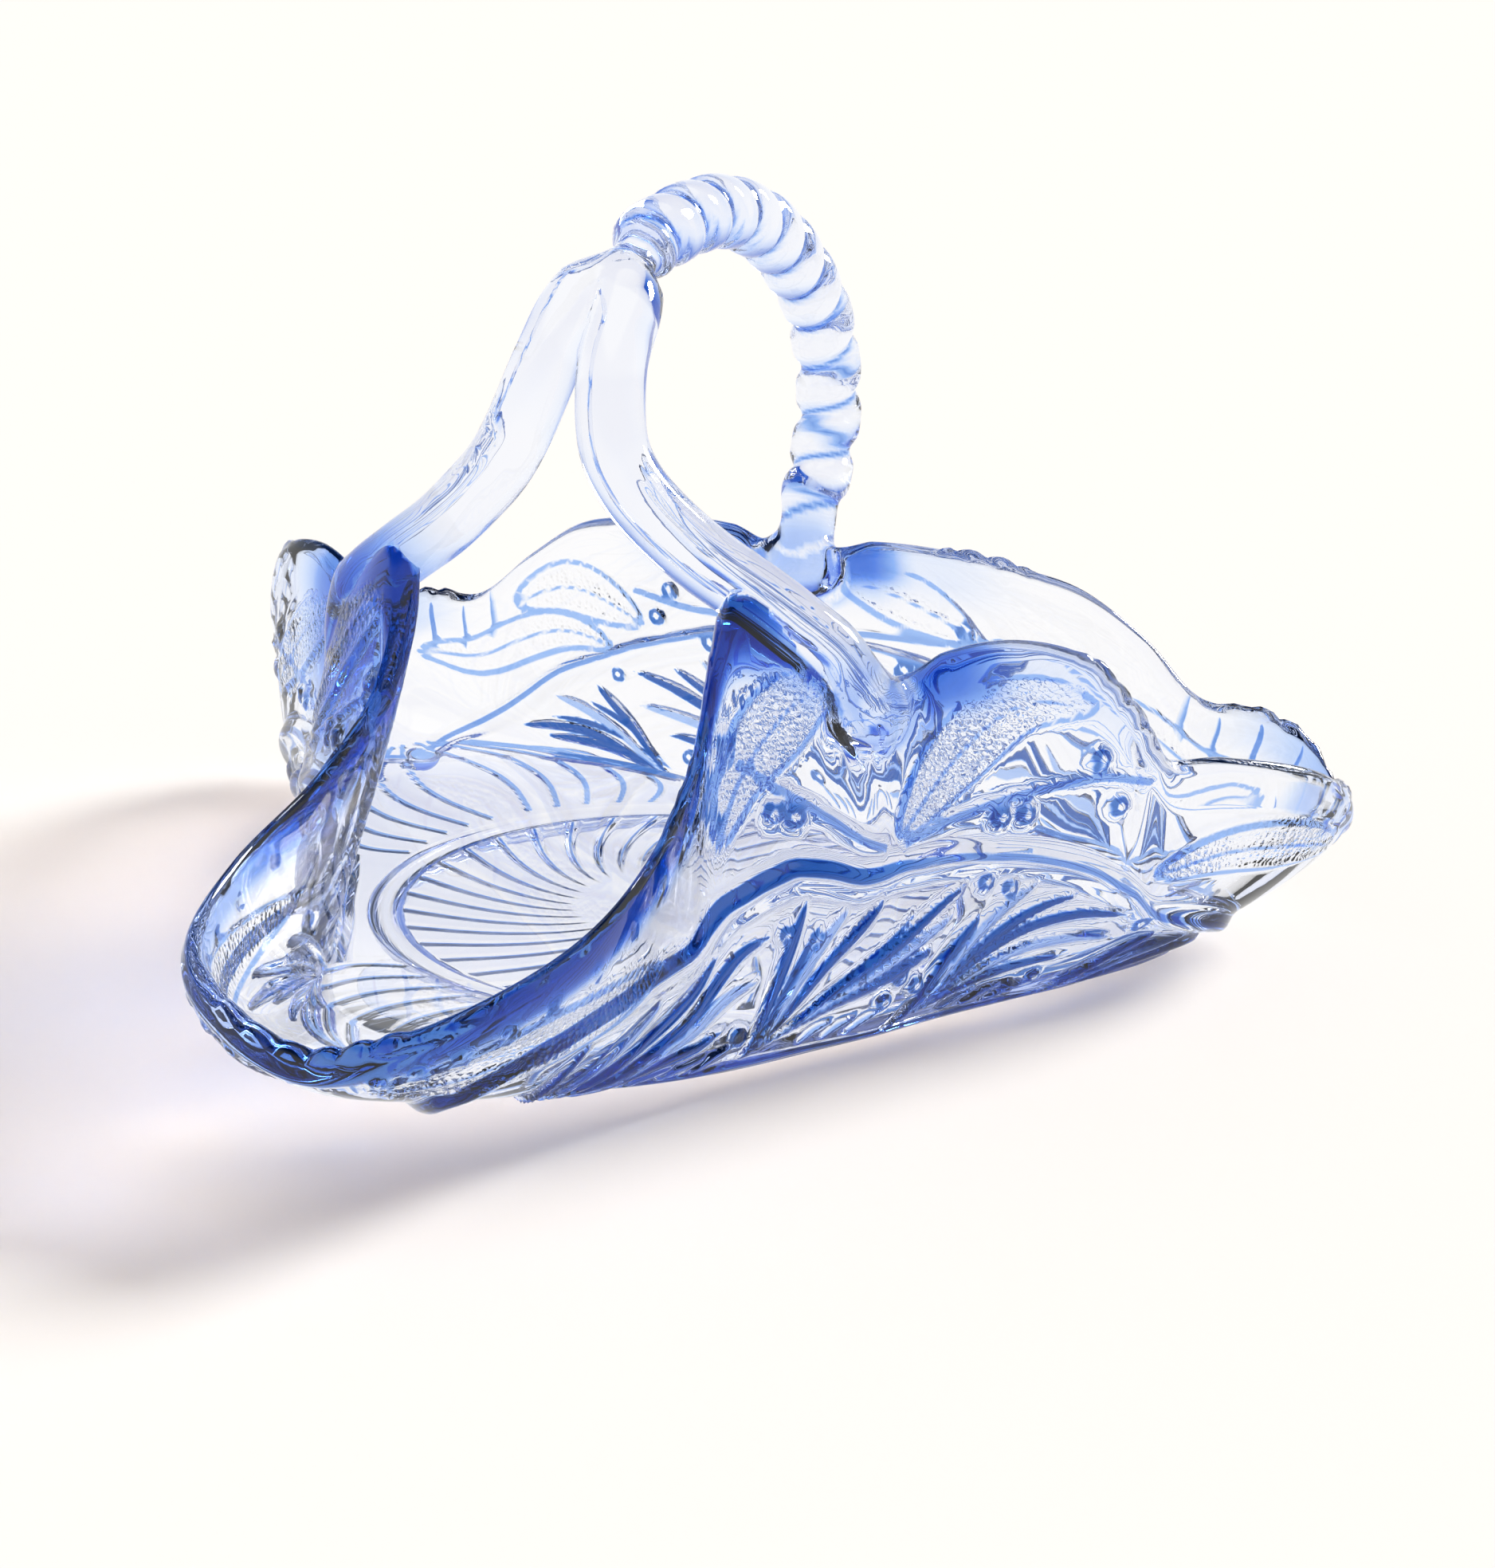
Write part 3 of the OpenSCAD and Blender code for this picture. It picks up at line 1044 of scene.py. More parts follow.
    def crest(self) -> None:
        """Add the rounded rim: half an ellipse from the outer to the inner face.

        Beads stand along the tips of the spouts and the falling side of the
        lobes. They rise by bead_high times the 0.8th power of the size of the
        sine of pi times the length along the rim over the pitch.
        """
        q = self.angles(self.columns)
        point, way = self.wall.section(q, np.ones_like(q))
        across = np.stack([-way[:, 1], way[:, 0]], -1)
        half = 0.5 * self.wall.thickness
        a = from_root(q)
        bead = np.abs(np.sin(np.pi * lengths(spun(point, q)) / self.bead_pitch)) ** 0.8
        beaded = smooth(a, 51, 54) + smooth(a, 25, 27) * (1 - smooth(a, 34, 36))
        top = half + self.bead_high * bead * beaded
        for phi in np.radians((12, 40, 68, 96, 124, 150, 172)):
            depth = half * (1 - np.cos(phi))
            rise = top * np.sin(phi)
            # The rim carries its painted shade.
            self.ring(
                spun(point + across * depth + way * rise[:, None], q), tone=self.rim_blue_and_shade(q)
            )

    def inside(self) -> None:
        """Add the smooth inner face and the floor."""
        q = self.angles(self.columns // 2)
        for u in np.linspace(1, 0, 26):
            # The inner face carries the rim's painted shade near the top.
            self.ring(
                self.wall.inward(q, np.full_like(q, u), self.wall.thickness),
                tone=0.9 * self.rim_blue_and_shade(q) * smooth(np.array(u), 0.86, 0.97),
            )
        z = self.wall.foot_h + self.wall.thickness
        edge = self.verts[-1]
        inner = level(self.floor_r, z, q)
        for t in (0.33, 0.66, 1.0):
            self.ring(edge + (inner - edge) * t)
        for r, count in ((36, 360), (28, 180), (20, 180), (12, 90), (5, 90), (1.5, 90)):
            self.flat_ring(r, z, count)

    def stitch(self, lower: np.ndarray, upper: np.ndarray) -> np.ndarray:
        """Return the triangles between two rings.

        Rings of equal length give two triangles a column; where one has twice
        as many points, three triangles fill each of the wider steps.

        Args:
            lower: Indices of the points of one ring.
            upper: Indices of the points of the next.

        Returns:
            Indices of points, one row for each triangle.
        """
        n, m = len(lower), len(upper)
        if n == m:
            a, b = lower, np.roll(lower, -1)
            c, d = upper, np.roll(upper, -1)
            return np.concatenate([np.stack([a, b, d], 1), np.stack([a, d, c], 1)])
        if n == 2 * m:
            a, b, c = lower[0::2], lower[1::2], np.roll(lower[0::2], -1)
            d, e = upper, np.roll(upper, -1)
            return np.concatenate([
                np.stack([a, b, d], 1), np.stack([b, e, d], 1), np.stack([b, c, e], 1),
            ])
        return self.stitch(upper, lower)[:, ::-1]

    def build(self) -> Skin:
        """Add every ring and close both ends with a fan.

        Returns:
            The bowl's closed skin.
        """
        self.underside()
        self.foot()
        self.outside()
        self.crest()
        self.inside()
        h = self.wall.foot_h
        poles = np.array([[0, 0, h], [0, 0, h + self.wall.thickness]])
        pole_marks = np.array([[0.0, 0.0], [0.0, 0.0], [-MARGIN, -MARGIN], [0.0, 0.0]])
        verts = np.concatenate([*self.verts, poles])
        marks = np.concatenate([*self.marks, pole_marks], 1)
        faces = [self.stitch(a, b) for a, b in zip(self.rings, self.rings[1:])]
        first, last = self.rings[0], self.rings[-1]
        low, top = len(verts) - 2, len(verts) - 1
        faces.append(np.stack([np.roll(first, -1), first, np.full(len(first), low)], 1))
        faces.append(np.stack([last, np.roll(last, -1), np.full(len(last), top)], 1))
        return Skin(verts, np.concatenate(faces), *marks)


@dataclass
class Rod:
    """A glass rod swept along a smooth curve through points.

    Args:
        points: Points of the centre line.
        diameter: Diameter of the rod.
        side: A direction across the rod, from which angles are counted.
        steps: Rings between two points.
        sides: Points of a ring.
        groove: Depth of a spiral groove.
        pitch: Length of one turn of the groove.
        flare: How much wider its last stretch grows where it melts into the rim.
        blunt: Length over which either end closes.
        groove_painted_shade: Painted shade at the bottom of the groove, as its depth of colour.
    """

    points: list[Point]
    diameter: float
    side: Point
    steps: int
    sides: int = 28
    groove: float = 0.0
    pitch: float = 9.0
    flare: float = 0.0
    blunt: float = 2.5
    groove_painted_shade: float = 0.8

    def build(self) -> Skin:
        """Sweep the rings along the curve.

        A ring's radius is d / 2 - groove ((1 + cos(a - 2 pi s / pitch)) / 2)^3,
        with a the angle round the rod and s the length along it. The groove
        fades out from 12 to 4 mm before the end, and painted shade darkens it:
        its blue is groove_painted_shade times the 7th power of its share of the full
        depth. The last stretch swells by 1 + flare exp(-((left - 5) / 5.5)^2),
        with left the length that is left. Both ends close by a square root,
        inside the glass that they join.

        Returns:
            The closed skin of the rod.
        """
        spans = len(self.points) - 1
        line = through(
            np.array(self.points, float), np.linspace(0, spans, spans * self.steps + 1)
        )
        way = np.gradient(line, axis=0)
        way /= np.linalg.norm(way, axis=1, keepdims=True)
        x = np.cross(way, np.array(self.side))
        x /= np.linalg.norm(x, axis=1, keepdims=True)
        y = np.cross(way, x)
        s = lengths(line)
        left = s[-1] - s
        swell = 1.0 + self.flare * np.exp(-(((left - 5.0) / 5.5) ** 2))
        close = np.sqrt(np.clip(left / self.blunt, 0.02, 1.0))
        close = close * np.sqrt(np.clip(s / self.blunt + 0.05, 0, 1))
        angle = np.arange(self.sides) * 2 * np.pi / self.sides
        ss, aa = np.meshgrid(s, angle, indexing="ij")
        fade = smooth(left, 4.0, 12.0)[:, None]
        cut = self.groove * ((1 + np.cos(aa - 2 * np.pi * ss / self.pitch)) / 2) ** 3 * fade
        r = (self.diameter / 2 - cut) * (swell * close)[:, None]
        out = np.cos(aa)[..., None] * x[:, None] + np.sin(aa)[..., None] * y[:, None]
        rings = line[:, None, :] + r[..., None] * out
        verts = np.concatenate([rings.reshape(-1, 3), line[[0, -1]]])
        share = (cut / max(self.groove, 1e-6)).ravel()
        # Painted shade at the bottom of the spiral groove.
        tone = np.concatenate([self.groove_painted_shade * share**7, [0.0, 0.0]])
        return Skin.plain(verts, tube_faces(len(s), self.sides), tone)


@dataclass
class Handle:
    """The three-legged handle: a twisted back leg and two smooth front legs.

    Args:
        wall: The wall that it stands on.
        twist_d: Diameter of the twisted leg.
        leg_d: Diameter of a smooth leg.
        twist_depth: Depth of the groove of the twisted leg.
        twist_flare: How much wider the twisted leg grows at its root.
        leg_flare: How much wider a smooth leg grows at its root.
        fork_y: How far in front of the bowl's middle the legs meet.
        top_z: Height of the handle's centre line.
        rim_z: Height of the rim at the roots.
    """

    wall: Wall
    twist_d: float = 10.8
    leg_d: float = 9.6
    twist_depth: float = 1.2
    twist_flare: float = 0.12
    leg_flare: float = 0.18
    fork_y: float = 16.5
    top_z: float = 109.4
    rim_z: float = 51.4

    def foot(self, root: RootKind) -> Point:
        """Return the middle of the glass nine tenths of the way up at a root."""
        return tuple(self.wall.middle(root.value, 0.9))

    def rods(self) -> list[Rod]:
        """Lay the centre lines of the rods, from the fork to the rim.

        Returns:
            The twisted leg, the right leg and the left leg.
        """
        t, f, z = self.top_z, self.fork_y, self.rim_z
        twist = [
            (0, -f, t - 3.1), (0, -f / 4, t - 0.4), (0, 12, t), (0, 27, t - 3.9),
            (0, 40, t - 11.2), (0, 50.5, t - 21), (0, 55.2, t - 33.6),
            (0, 53.2, t - 44.2), (0, 47.5, z + 3.4), self.foot(RootKind.BACK),
        ]
        leg = [
            (0, -f, t - 3.1), (3.8, -f - 8, t - 8.3), (4.9, -31, t - 15.1),
            (7.1, -35.2, t - 23.8), (10.1, -36, t - 29.3), (14.7, -35.5, z + 23.8),
            (20.7, -33.6, z + 18.6), (28, -31.1, z + 13.5), (34.9, -29.2, z + 8.4),
            (40.2, -26.6, z + 3.3), self.foot(RootKind.RIGHT),
        ]
        mirrored = [(-x, y, height) for x, y, height in leg]
        return [
            Rod(
                twist, self.twist_d, (1, 0, 0), 18, sides=32, groove=self.twist_depth,
                flare=self.twist_flare,
            ),
            Rod(leg, self.leg_d, (0, 1, 0), 6, flare=self.leg_flare),
            Rod(mirrored, self.leg_d, (0, 1, 0), 6, flare=self.leg_flare),
        ]


@dataclass
class Drop:
    """A ball of glass, stretched along its three axes and turned about Z.

    Args:
        centre: Its middle.
        size: Its half-lengths.
        turn: Angle from +X to its first axis.
        rings: Steps from pole to pole.
        sides: Points round it.
        tone: Depth of its colour.
    """

    centre: Point
    size: Point = (3.2, 3.2, 3.2)
    turn: float = 0.0
    rings: int = 16
    sides: int = 32
    tone: float = 0.5

    def build(self) -> Skin:
        """Shape the ball.

        With v from pole to pole and a round it, it is sin v cos a, sin v sin a
        and -cos v, times the half-lengths.

        Returns:
            The closed skin of the ball.
        """
        v = np.linspace(0, np.pi, self.rings)[1:-1]
        a = np.arange(self.sides) * 2 * np.pi / self.sides
        vv, aa = np.meshgrid(v, a, indexing="ij")
        ball = np.stack([np.sin(vv) * np.cos(aa), np.sin(vv) * np.sin(aa), -np.cos(vv)], -1)
        verts = np.concatenate([ball.reshape(-1, 3), [[0, 0, -1], [0, 0, 1]]]) * self.size
        c, s = math.cos(math.radians(self.turn)), math.sin(math.radians(self.turn))
        verts = verts @ np.array([[c, s, 0.0], [-s, c, 0.0], [0.0, 0.0, 1.0]])
        return Skin.plain(verts + np.array(self.centre), tube_faces(len(v), self.sides), self.tone)


def make_object(name: str, skin: Skin) -> bpy.types.Object:
    """Make a mesh object in metres from a skin, its triangles facing outwards.

    Args:
        name: The object's name.
        skin: The skin, in millimetres.

    Returns:
        The new object, linked into the scene.
    """
    verts = skin.verts
    faces = skin.faces if skin.volume() >= 0 else skin.faces[:, ::-1]
    mesh = bpy.data.meshes.new(name)
    mesh.vertices.add(len(verts))
    mesh.vertices.foreach_set("co", (verts * MM).astype(np.float32).ravel())
    mesh.loops.add(faces.size)
    mesh.loops.foreach_set("vertex_index", faces.astype(np.int32).ravel())
    mesh.polygons.add(len(faces))
    mesh.polygons.foreach_set("loop_start", np.arange(0, faces.size, 3, dtype=np.int32))
    mesh.update(calc_edges=True)
    mesh.validate()
    for mark, values in (
        ("stipple", skin.dots), ("deep", skin.deep), ("core", skin.core), ("tone", skin.tone),
    ):
        layer = mesh.attributes.new(mark, "FLOAT", "POINT")
        layer.data.foreach_set("value", values.astype(np.float32))
    obj = bpy.data.objects.new(name, mesh)
    bpy.context.scene.collection.objects.link(obj)
    return obj


def linear(hex_colour: str) -> tuple[float, float, float, float]:
    """Turn an sRGB hex colour into linear light.

    Args:
        hex_colour: A # and six hex digits.

    Returns:
        Red, green, blue and alpha 1.
    """
    values = [int(hex_colour[i:i + 2], 16) / 255 for i in (1, 3, 5)]
    curve = [v / 12.92 if v <= 0.04045 else ((v + 0.055) / 1.055) ** 2.4 for v in values]
    return (*curve, 1.0)


def add_node(tree: bpy.types.NodeTree, kind: str, **values: object) -> bpy.types.Node:
    """Add a node with its settings and links.

    Args:
        tree: The node tree.
        kind: The node's type name.
        **values: A property of the node, or an input by its name with spaces
            written as underscores, or by i and its number: an output socket is
            linked to it, and anything else becomes its value.

    Returns:
        The new node.
    """
    node = tree.nodes.new(kind)
    for key, value in values.items():
        if hasattr(node, key) and not isinstance(value, bpy.types.NodeSocket):
            setattr(node, key, value)
            continue
        name = key.replace("_", " ")
        socket = node.inputs[int(key[1:])] if key[1:].isdigit() else node.inputs[name]
        if isinstance(value, bpy.types.NodeSocket):
            tree.links.new(value, socket)
        else:
            socket.default_value = value
    return node


@dataclass(frozen=True)
class PressedGlass:
    """Pale blue soda-lime glass, pressed in an iron mould and fire-polished.

    Its faces are smooth and glossy, and its tint deepens with the length of
    glass that the light passes. Its base colour is painted a deeper blue on
    the motifs, the rim, the roots, the drops and the groove of the twisted
    leg: painted shade for the dark blue that bent glass shows, over the tint
    of the thick glass at the rim and the roots. The leaves are stippled by
    the mould, which makes them look frosted. Its dots stand about 1 mm
    apart, as they do in the photograph.

    Args:
        painted_blues: Base colour at even steps of the painted depth, from 0 to 1: clear
        at 0 and the deepest painted shade at 1.
        tint: Colour that white light takes on in the glass.
        density: How fast it does.
        ior: Refractive index of soda-lime glass, rounded.
        roughness: Roughness of the fire-polished face.
        dot_mm: Distance between the dots of the stipple.
        dot_rise: Height of the bump of the dots, in metres.
        dot_strength: Its strength.
        edge_from: Depth inside a motif at which its blue begins, in millimetres.
        edge_to: Depth at which it is full.
        shadow: Share of a lamp's light that each surface lets into the shadow.
    """

    painted_blues: tuple[str, ...] = ("#FFFFFF", "#C3DAFF", "#5F92F2", "#1E52C4", "#03207C")
    tint: str = "#78A6F4"
    density: float = 9.0
    ior: float = 1.5
    roughness: float = 0.012
    dot_mm: float = 1.0
    dot_rise: float = 0.0006
    dot_strength: float = 0.45
    edge_from: float = -0.12
    edge_to: float = 0.2
    shadow: str = "#CFC8C3"

    def material(self) -> bpy.types.Material:
        """Make the node material.

        Returns:
            The material.
        """
        mat = bpy.data.materials.new("pressed_blue_glass")
        mat.use_nodes = True
        tree = mat.node_tree
        tree.nodes.clear()
        out = add_node(tree, "ShaderNodeOutputMaterial")
        coords = add_node(tree, "ShaderNodeTexCoord")
        dots = add_node(
            tree, "ShaderNodeTexVoronoi", Vector=coords.outputs["Object"],
            Scale=1.0 / (self.dot_mm * MM), Randomness=0.75,
        )
        mask = add_node(tree, "ShaderNodeAttribute", attribute_name="stipple")
        lift = add_node(
            tree, "ShaderNodeMath", operation="MULTIPLY", i0=dots.outputs["Distance"],
            i1=mask.outputs["Fac"],
        )
        bump = add_node(
            tree, "ShaderNodeBump", Strength=self.dot_strength, Distance=self.dot_rise,
            Height=lift.outputs["Value"],
        )
        core = add_node(tree, "ShaderNodeAttribute", attribute_name="core")
        within = add_node(
            tree, "ShaderNodeMapRange", interpolation_type="SMOOTHSTEP",
            Value=core.outputs["Fac"], From_Min=self.edge_from, From_Max=self.edge_to,
        )
        deep = add_node(tree, "ShaderNodeAttribute", attribute_name="deep")
        motif = add_node(
            tree, "ShaderNodeMath", operation="MULTIPLY", i0=within.outputs["Result"],
            i1=deep.outputs["Fac"],
        )
        tone = add_node(tree, "ShaderNodeAttribute", attribute_name="tone")
        depth = add_node(
            tree, "ShaderNodeMath", operation="MAXIMUM", i0=motif.outputs[0],
            i1=tone.outputs["Fac"],
        )
        # Painted shade: the base colour turns a deeper blue with the depth of the motif and the
        # tone.
        shade = add_node(tree, "ShaderNodeValToRGB", i0=depth.outputs[0])
        ramp = shade.color_ramp
        ramp.elements[0].color = linear(self.painted_blues[0])
        ramp.elements[-1].color = linear(self.painted_blues[-1])
        for k in range(1, len(self.painted_blues) - 1):
            ramp.elements.new(k / (len(self.painted_blues) - 1)).color = linear(self.painted_blues[k])
        glass = add_node(
            tree, "ShaderNodeBsdfPrincipled", Base_Color=shade.outputs["Color"],
            Roughness=self.roughness, IOR=self.ior, Transmission_Weight=1.0,
            Normal=bump.outputs["Normal"],
        )
        clear = add_node(tree, "ShaderNodeBsdfTransparent", Color=linear(self.shadow))
        path = add_node(tree, "ShaderNodeLightPath")
        mix = add_node(
            tree, "ShaderNodeMixShader", i0=path.outputs["Is Shadow Ray"],
            i1=glass.outputs["BSDF"], i2=clear.outputs["BSDF"],
        )
        tinted = add_node(
            tree, "ShaderNodeVolumeAbsorption", Color=linear(self.tint), Density=self.density,
        )
        tree.links.new(mix.outputs["Shader"], out.inputs["Surface"])
        tree.links.new(tinted.outputs["Volume"], out.inputs["Volume"])
        return mat


@dataclass
class GlassBasket:
    """The whole basket: bowl, drops and handle joined into one glass skin.

    Args:
        wall: The bowl's wall.
        finish: The glass.
        drop_z: Height of the middle of the drops under the spouts.
        pad_size: Half-lengths of the pads of glass under the roots.
        pad_low: How far below the rim their middle lies.
        pad_tone: Depth of their colour.
        fork: The middle of the place where the legs meet.
        fork_reach: How far from there the joint is melted.
        root_reach: How far from a root the joint is melted.
        melt_rounds: How often the joints are averaged.
        melt_share: The share of each averaging.
    """

    wall: Wall = field(default_factory=Wall)
    finish: PressedGlass = field(default_factory=PressedGlass)
    drop_z: float = 5.0
    pad_size: Point = (3.6, 9.0, 5.0)
    pad_low: float = 1.5
    pad_tone: float = 0.35
    fork: Point = (0.0, -17.5, 105.0)
    fork_reach: float = 9.0
    root_reach: float = 13.0
    melt_rounds: int = 24
    melt_share: float = 0.6

    def root(self, kind: RootKind) -> np.ndarray:
        """Return the middle of the rim at the root of a leg."""
        return self.wall.middle(kind.value, 1.0)

    def parts(self) -> dict[str, Skin]:
        """Build every part.

        Returns:
            Their skins by name.
        """
        relief = Mould(Relief(self.wall)).draw()
        found = {"bowl": Bowl(self.wall, relief).build()}
        for k, rod in enumerate(Handle(self.wall).rods()):
            found[f"rod_{k}"] = rod.build()
        for k, q in enumerate(SPOUTS):
            lift = self.wall.front_lift if k == 0 else 0.0
            x = self.wall.corner_r * math.cos(math.radians(q))
            y = self.wall.corner_r * math.sin(math.radians(q))
            found[f"drop_{k}"] = Drop((x, y, self.drop_z + lift)).build()
        for k, kind in enumerate(RootKind):
            x, y, z = self.root(kind)
            pad = Drop((x, y, z - self.pad_low), self.pad_size, kind.value, tone=self.pad_tone)
            found[f"pad_{k}"] = pad.build()
        for skin in found.values():
            # Paint the roots' blue and painted shade into every part.
            skin.tone = np.maximum(skin.tone, self.root_blue_and_shade(skin.verts))
        return found

    def root_blue_and_shade(self, points: np.ndarray) -> np.ndarray:
        """Return the blue painted round the three roots: thick glass and painted shade.

        Args:
            points: Points of a skin, one row each.

        Returns:
            The depth at each: full up to 3 mm from a root, and falling to 0
            where its blue ends.
        """
        depths = []
        # Painted shade over the tint of the thick glass, deepest at the left root.
        for kind, (depth, reach) in ROOT_BLUE_AND_SHADE.items():
            gap = np.linalg.norm(points - self.root(kind), axis=1)
            depths.append(depth * (1.0 - smooth(gap, 3.0, reach)))
        return np.max(depths, axis=0)

    def build(self) -> bpy.types.Object:
        """Join the parts into one skin and dress it.

        Returns:
            The piece.
        """
        objects = []
        for name, skin in self.parts().items():
            objects.append(make_object(f"part_{name}", skin))
            LOG.info("%s: %d triangles, %.0f mm3", name, len(skin.faces), skin.volume())
        body = objects[0]
        for tool in objects[1:]:
            join = body.modifiers.new("join", "BOOLEAN")
            join.operation = "UNION"
            join.solver = "MANIFOLD"
            join.object = tool
        graph = bpy.context.evaluated_depsgraph_get()
        mesh = bpy.data.meshes.new_from_object(body.evaluated_get(graph))
        for tool in objects:
            bpy.data.objects.remove(tool)
        mesh.name = PIECE
        piece = bpy.data.objects.new(PIECE, mesh)
        bpy.context.scene.collection.objects.link(piece)
        self.soften(mesh)
        mesh.polygons.foreach_set("use_smooth", np.ones(len(mesh.polygons), bool))
        mesh.materials.clear()
        mesh.materials.append(self.finish.material())
        return piece

    def soften(self, mesh: bpy.types.Mesh) -> None:
        """Melt the joints of the handle: average each point with its neighbours.

        The share of averaging falls from 1 at the fork and at the three roots
        to 0 at their reach.

        Args:
            mesh: The mesh of the joined skin, in metres.
        """
        co = np.empty(len(mesh.vertices) * 3, np.float32)
        mesh.vertices.foreach_get("co", co)
        co = co.reshape(-1, 3).astype(float) / MM
        edges = np.empty(len(mesh.edges) * 2, np.int32)
        mesh.edges.foreach_get("vertices", edges)
        edges = edges.reshape(-1, 2)
        share = np.zeros(len(co))
        spots = [(np.array(self.fork), self.fork_reach)]
        spots += [(self.root(kind), self.root_reach) for kind in RootKind]
        for centre, reach in spots:
            gap = np.linalg.norm(co - centre, axis=1)
            share = np.maximum(share, 1.0 - smooth(gap, 0.55 * reach, reach))
        count = np.bincount(edges.ravel(), minlength=len(co))[:, None]
        for _ in range(self.melt_rounds):
            total = np.zeros_like(co)
            for axis in range(3):
                total[:, axis] = np.bincount(
                    edges[:, 0], co[edges[:, 1], axis], len(co)
                ) + np.bincount(edges[:, 1], co[edges[:, 0], axis], len(co))
            co += share[:, None] * self.melt_share * (total / np.maximum(count, 1) - co)
        mesh.vertices.foreach_set("co", (co * MM).astype(np.float32).ravel())
        mesh.update()


# The light overhead that shows in the glass: the height on the sky, from 0 at
# the horizon to 1 above, and the colour there. The band of blue gives the thick
# and bent places of the glass the blue that they have in the photograph.
SKY: tuple[tuple[float, str], ...] = (
    (0.0, "#FFFFFF"), (0.16, "#F7FAFF"), (0.3, "#D3E0FB"), (0.5, "#5583DA"),
    (0.62, "#2A5ABF"), (0.8, "#2A5ABF"), (0.87, "#FFFFFF"),
)


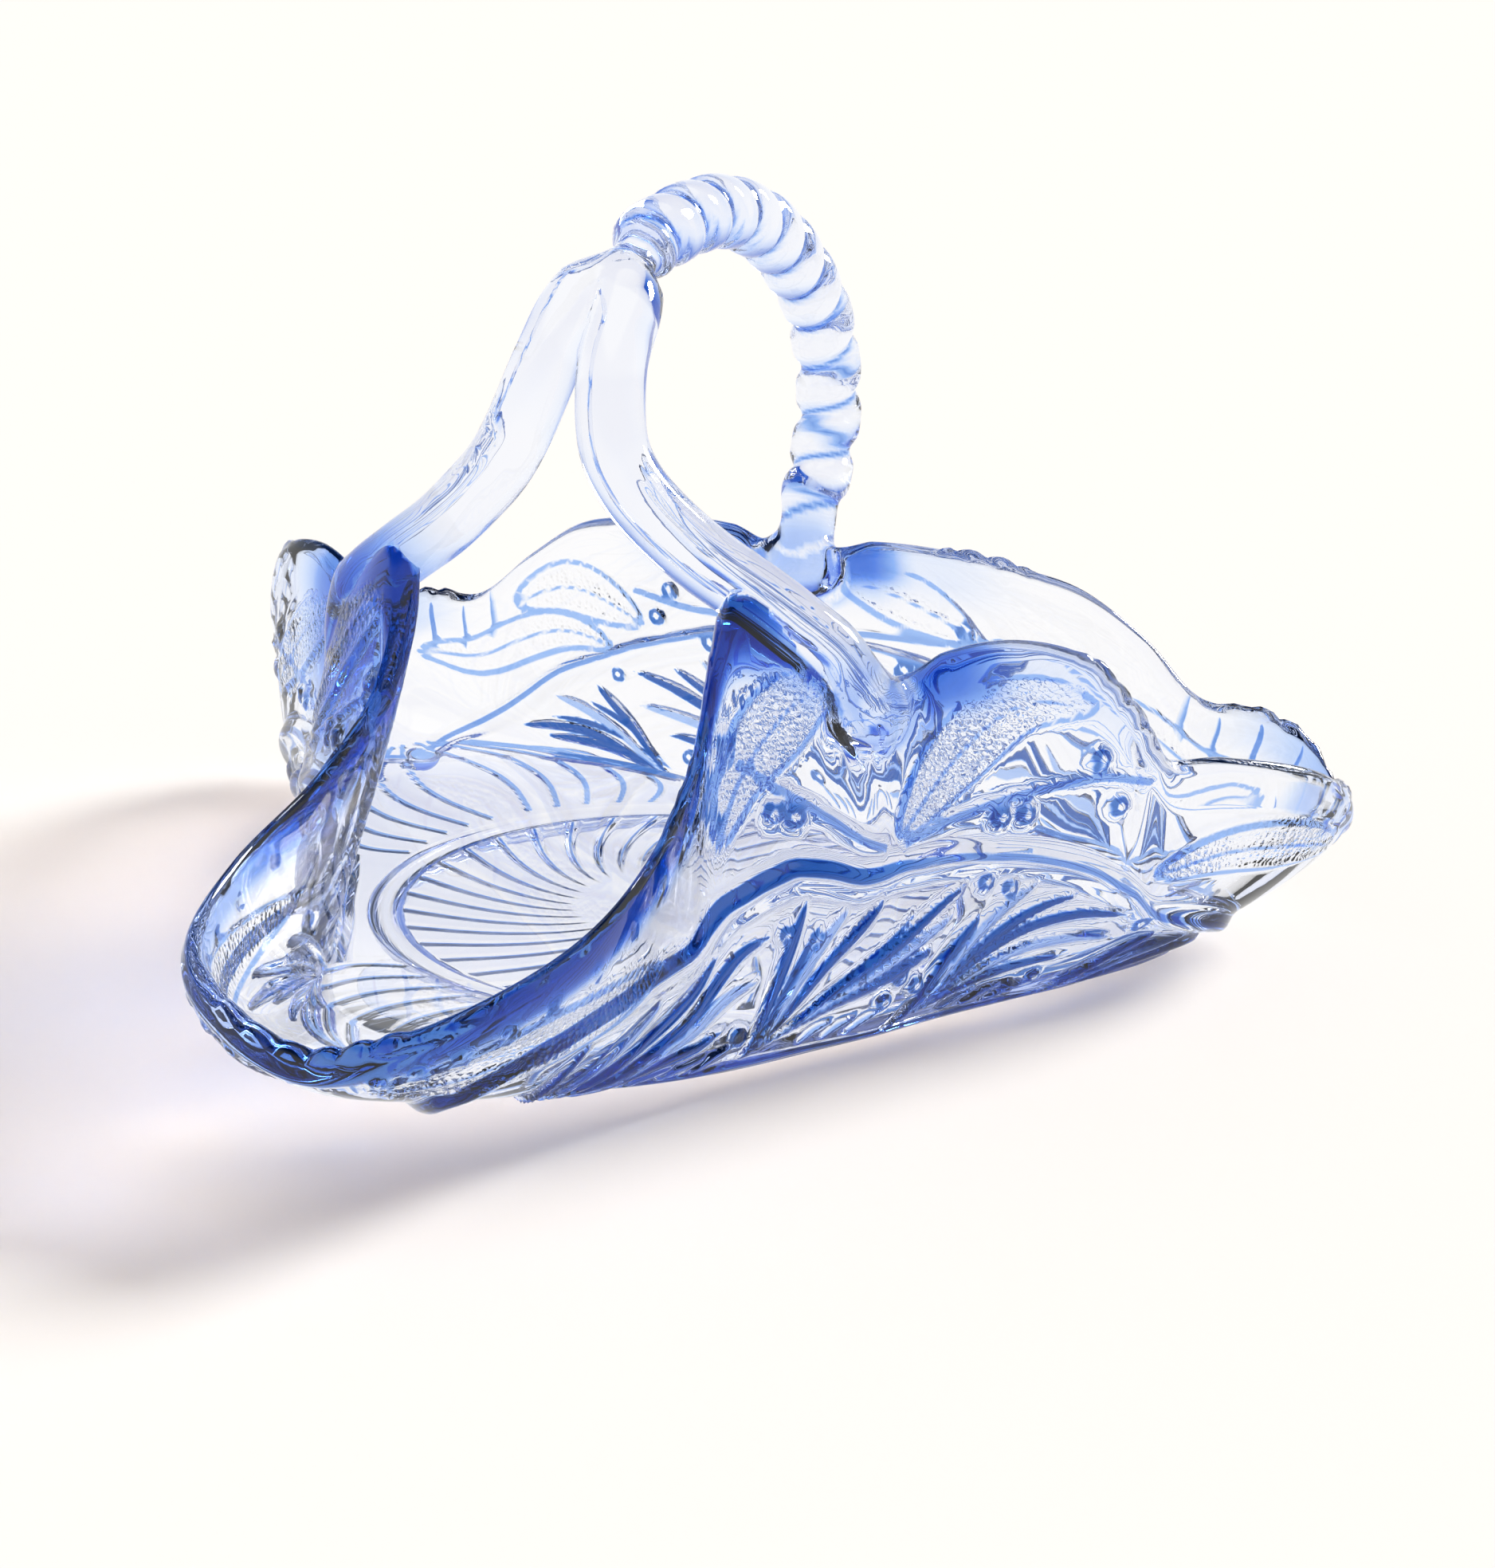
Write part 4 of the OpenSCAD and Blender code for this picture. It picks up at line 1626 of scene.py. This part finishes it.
@dataclass
class Studio:
    """Floor, world, lamp and camera.

    Args:
        azimuth: Angle of the camera from -Y towards +X.
        elevation: Its angle above the table.
        roll: Its turn about its own axis.
        distance: Its distance from the origin.
        lens: Its focal length.
        shift: Its shift, which frames the basket as the photograph does.
        floor_half: Half the length of the table top.
        floor_gap: How far it lies below the foot.
        floor_hue: Colour of the table top.
        floor_white: Share of white that glass and gloss see of it.
        room_hue: Colour of the light from all round.
        room_power: Strength of that light.
        lamp_place: Direction of the lamp.
        lamp_spread: How wide the lamp is, in degrees.
        lamp_power: Its strength.
        lamp_hue: Its colour.
    """

    azimuth: float = 25.995
    elevation: float = 21.743
    roll: float = 0.777
    distance: float = 452.513
    lens: float = 66.47
    shift: tuple[float, float] = (0.0477, 0.0964)
    floor_half: float = 9000.0
    floor_gap: float = 0.05
    floor_hue: str = "#EDEBEA"
    floor_white: float = 0.8
    room_hue: str = "#FFFDFA"
    room_power: float = 0.46
    lamp_place: Point = (0.86, 1.36, 0.9)
    lamp_spread: float = 20.0
    lamp_power: float = 5.2
    lamp_hue: str = "#FFFAF5"

    def table_material(self) -> bpy.types.Material:
        """Make the matt white of the table top, as of painted board.

        Glass and gloss see it mostly as white light, as they see the backdrop.

        Returns:
            The material.
        """
        mat = bpy.data.materials.new("white_table")
        mat.use_nodes = True
        tree = mat.node_tree
        tree.nodes.clear()
        out = add_node(tree, "ShaderNodeOutputMaterial")
        matt = add_node(tree, "ShaderNodeBsdfDiffuse", Color=linear(self.floor_hue))
        white = add_node(tree, "ShaderNodeEmission", Color=linear("#FFFFFF"), Strength=1.0)
        path = add_node(tree, "ShaderNodeLightPath")
        through_glass = add_node(
            tree, "ShaderNodeMath", operation="MAXIMUM", i0=path.outputs["Is Transmission Ray"],
            i1=path.outputs["Is Glossy Ray"],
        )
        share = add_node(
            tree, "ShaderNodeMath", operation="MULTIPLY", i0=through_glass.outputs[0],
            i1=self.floor_white,
        )
        mix = add_node(
            tree, "ShaderNodeMixShader", i0=share.outputs[0], i1=matt.outputs[0],
            i2=white.outputs[0],
        )
        tree.links.new(mix.outputs[0], out.inputs["Surface"])
        return mat

    def floor(self) -> None:
        """Lay the white table top."""
        corners = np.array([[-1, -1, 0], [1, -1, 0], [1, 1, 0], [-1, 1, 0]])
        verts = corners * self.floor_half - (0, 0, self.floor_gap)
        table = make_object("table_top", Skin.plain(verts, np.array([[0, 1, 2], [0, 2, 3]]), 0.0))
        table.data.materials.append(self.table_material())

    def world(self) -> None:
        """Surround the table with plain light.

        The camera sees white. Glass and gloss see the sky, unless the light
        goes on to the table, which sees the same plain light as the rest.
        """
        world = bpy.data.worlds.new("studio")
        bpy.context.scene.world = world
        world.use_nodes = True
        tree = world.node_tree
        tree.nodes.clear()
        out = add_node(tree, "ShaderNodeOutputWorld")
        coords = add_node(tree, "ShaderNodeTexCoord")
        split = add_node(tree, "ShaderNodeSeparateXYZ", Vector=coords.outputs["Generated"])
        ramp = add_node(tree, "ShaderNodeValToRGB", i0=split.outputs["Z"])
        for stop, hue in SKY:
            point = ramp.color_ramp.elements.new(stop)
            point.color = linear(hue)
        ramp.color_ramp.elements.remove(ramp.color_ramp.elements[-1])
        ramp.color_ramp.elements.remove(ramp.color_ramp.elements[0])
        path = add_node(tree, "ShaderNodeLightPath")
        seen = add_node(tree, "ShaderNodeBackground", Color=ramp.outputs["Color"], Strength=1.0)
        light = add_node(
            tree, "ShaderNodeBackground", Color=linear(self.room_hue), Strength=self.room_power,
        )
        white = add_node(tree, "ShaderNodeBackground", Color=linear("#FFFFFF"), Strength=1.0)
        through_glass = add_node(
            tree, "ShaderNodeMath", operation="MAXIMUM", i0=path.outputs["Is Transmission Ray"],
            i1=path.outputs["Is Glossy Ray"],
        )
        direct = add_node(
            tree, "ShaderNodeMath", operation="LESS_THAN", i0=path.outputs["Diffuse Depth"], i1=0.5,
        )
        shown = add_node(
            tree, "ShaderNodeMath", operation="MULTIPLY", i0=through_glass.outputs[0],
            i1=direct.outputs[0],
        )
        lit = add_node(
            tree, "ShaderNodeMixShader", i0=shown.outputs[0], i1=light.outputs[0],
            i2=seen.outputs[0],
        )
        mix = add_node(
            tree, "ShaderNodeMixShader", i0=path.outputs["Is Camera Ray"], i1=lit.outputs[0],
            i2=white.outputs[0],
        )
        tree.links.new(mix.outputs[0], out.inputs["Surface"])

    def lamp(self) -> None:
        """Shine the distant lamp on the basket."""
        light = bpy.data.lights.new("key", "SUN")
        light.angle = math.radians(self.lamp_spread)
        light.energy = self.lamp_power
        light.color = linear(self.lamp_hue)[:3]
        obj = bpy.data.objects.new("key", light)
        obj.location = self.lamp_place
        way = Vector((0, 0, 0.03)) - Vector(self.lamp_place)
        obj.rotation_euler = way.to_track_quat("-Z", "Y").to_euler()
        bpy.context.scene.collection.objects.link(obj)

    def camera(self) -> None:
        """Set the camera at the photograph's angle."""
        az, el, ro = (math.radians(v) for v in (self.azimuth, self.elevation, self.roll))
        right = Vector((math.cos(az), math.sin(az), 0))
        back = Vector((math.sin(az) * math.cos(el), -math.cos(az) * math.cos(el), math.sin(el)))
        up = back.cross(right)
        x = math.cos(ro) * right + math.sin(ro) * up
        y = -math.sin(ro) * right + math.cos(ro) * up
        data = bpy.data.cameras.new("camera")
        data.lens = self.lens
        data.sensor_width = 36.0
        data.shift_x, data.shift_y = self.shift
        data.clip_end = 100.0
        obj = bpy.data.objects.new("camera", data)
        turned = Matrix((x, y, back)).transposed().to_4x4()
        obj.matrix_world = Matrix.Translation(back * self.distance * MM) @ turned
        bpy.context.scene.collection.objects.link(obj)
        bpy.context.scene.camera = obj

    def build(self) -> None:
        """Set up everything round the basket, and how far light is followed."""
        self.floor()
        self.world()
        self.lamp()
        self.camera()
        scene = bpy.context.scene
        scene.view_settings.view_transform = "Standard"
        scene.cycles.max_bounces = 10
        scene.cycles.transmission_bounces = 10
        scene.cycles.glossy_bounces = 6
        scene.cycles.diffuse_bounces = 1
        scene.cycles.transparent_max_bounces = 8


def main() -> None:
    """Build the basket and the studio and report the piece."""
    logging.basicConfig(level=logging.INFO, format="%(name)s: %(message)s")
    piece = GlassBasket().build()
    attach(piece, "root")
    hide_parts(NODE)
    LOG.info("%s: %d faces, on root, for %s", piece.name, len(piece.data.polygons), NODE)
    Studio().build()
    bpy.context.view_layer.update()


if __name__ == "__main__":
    main()
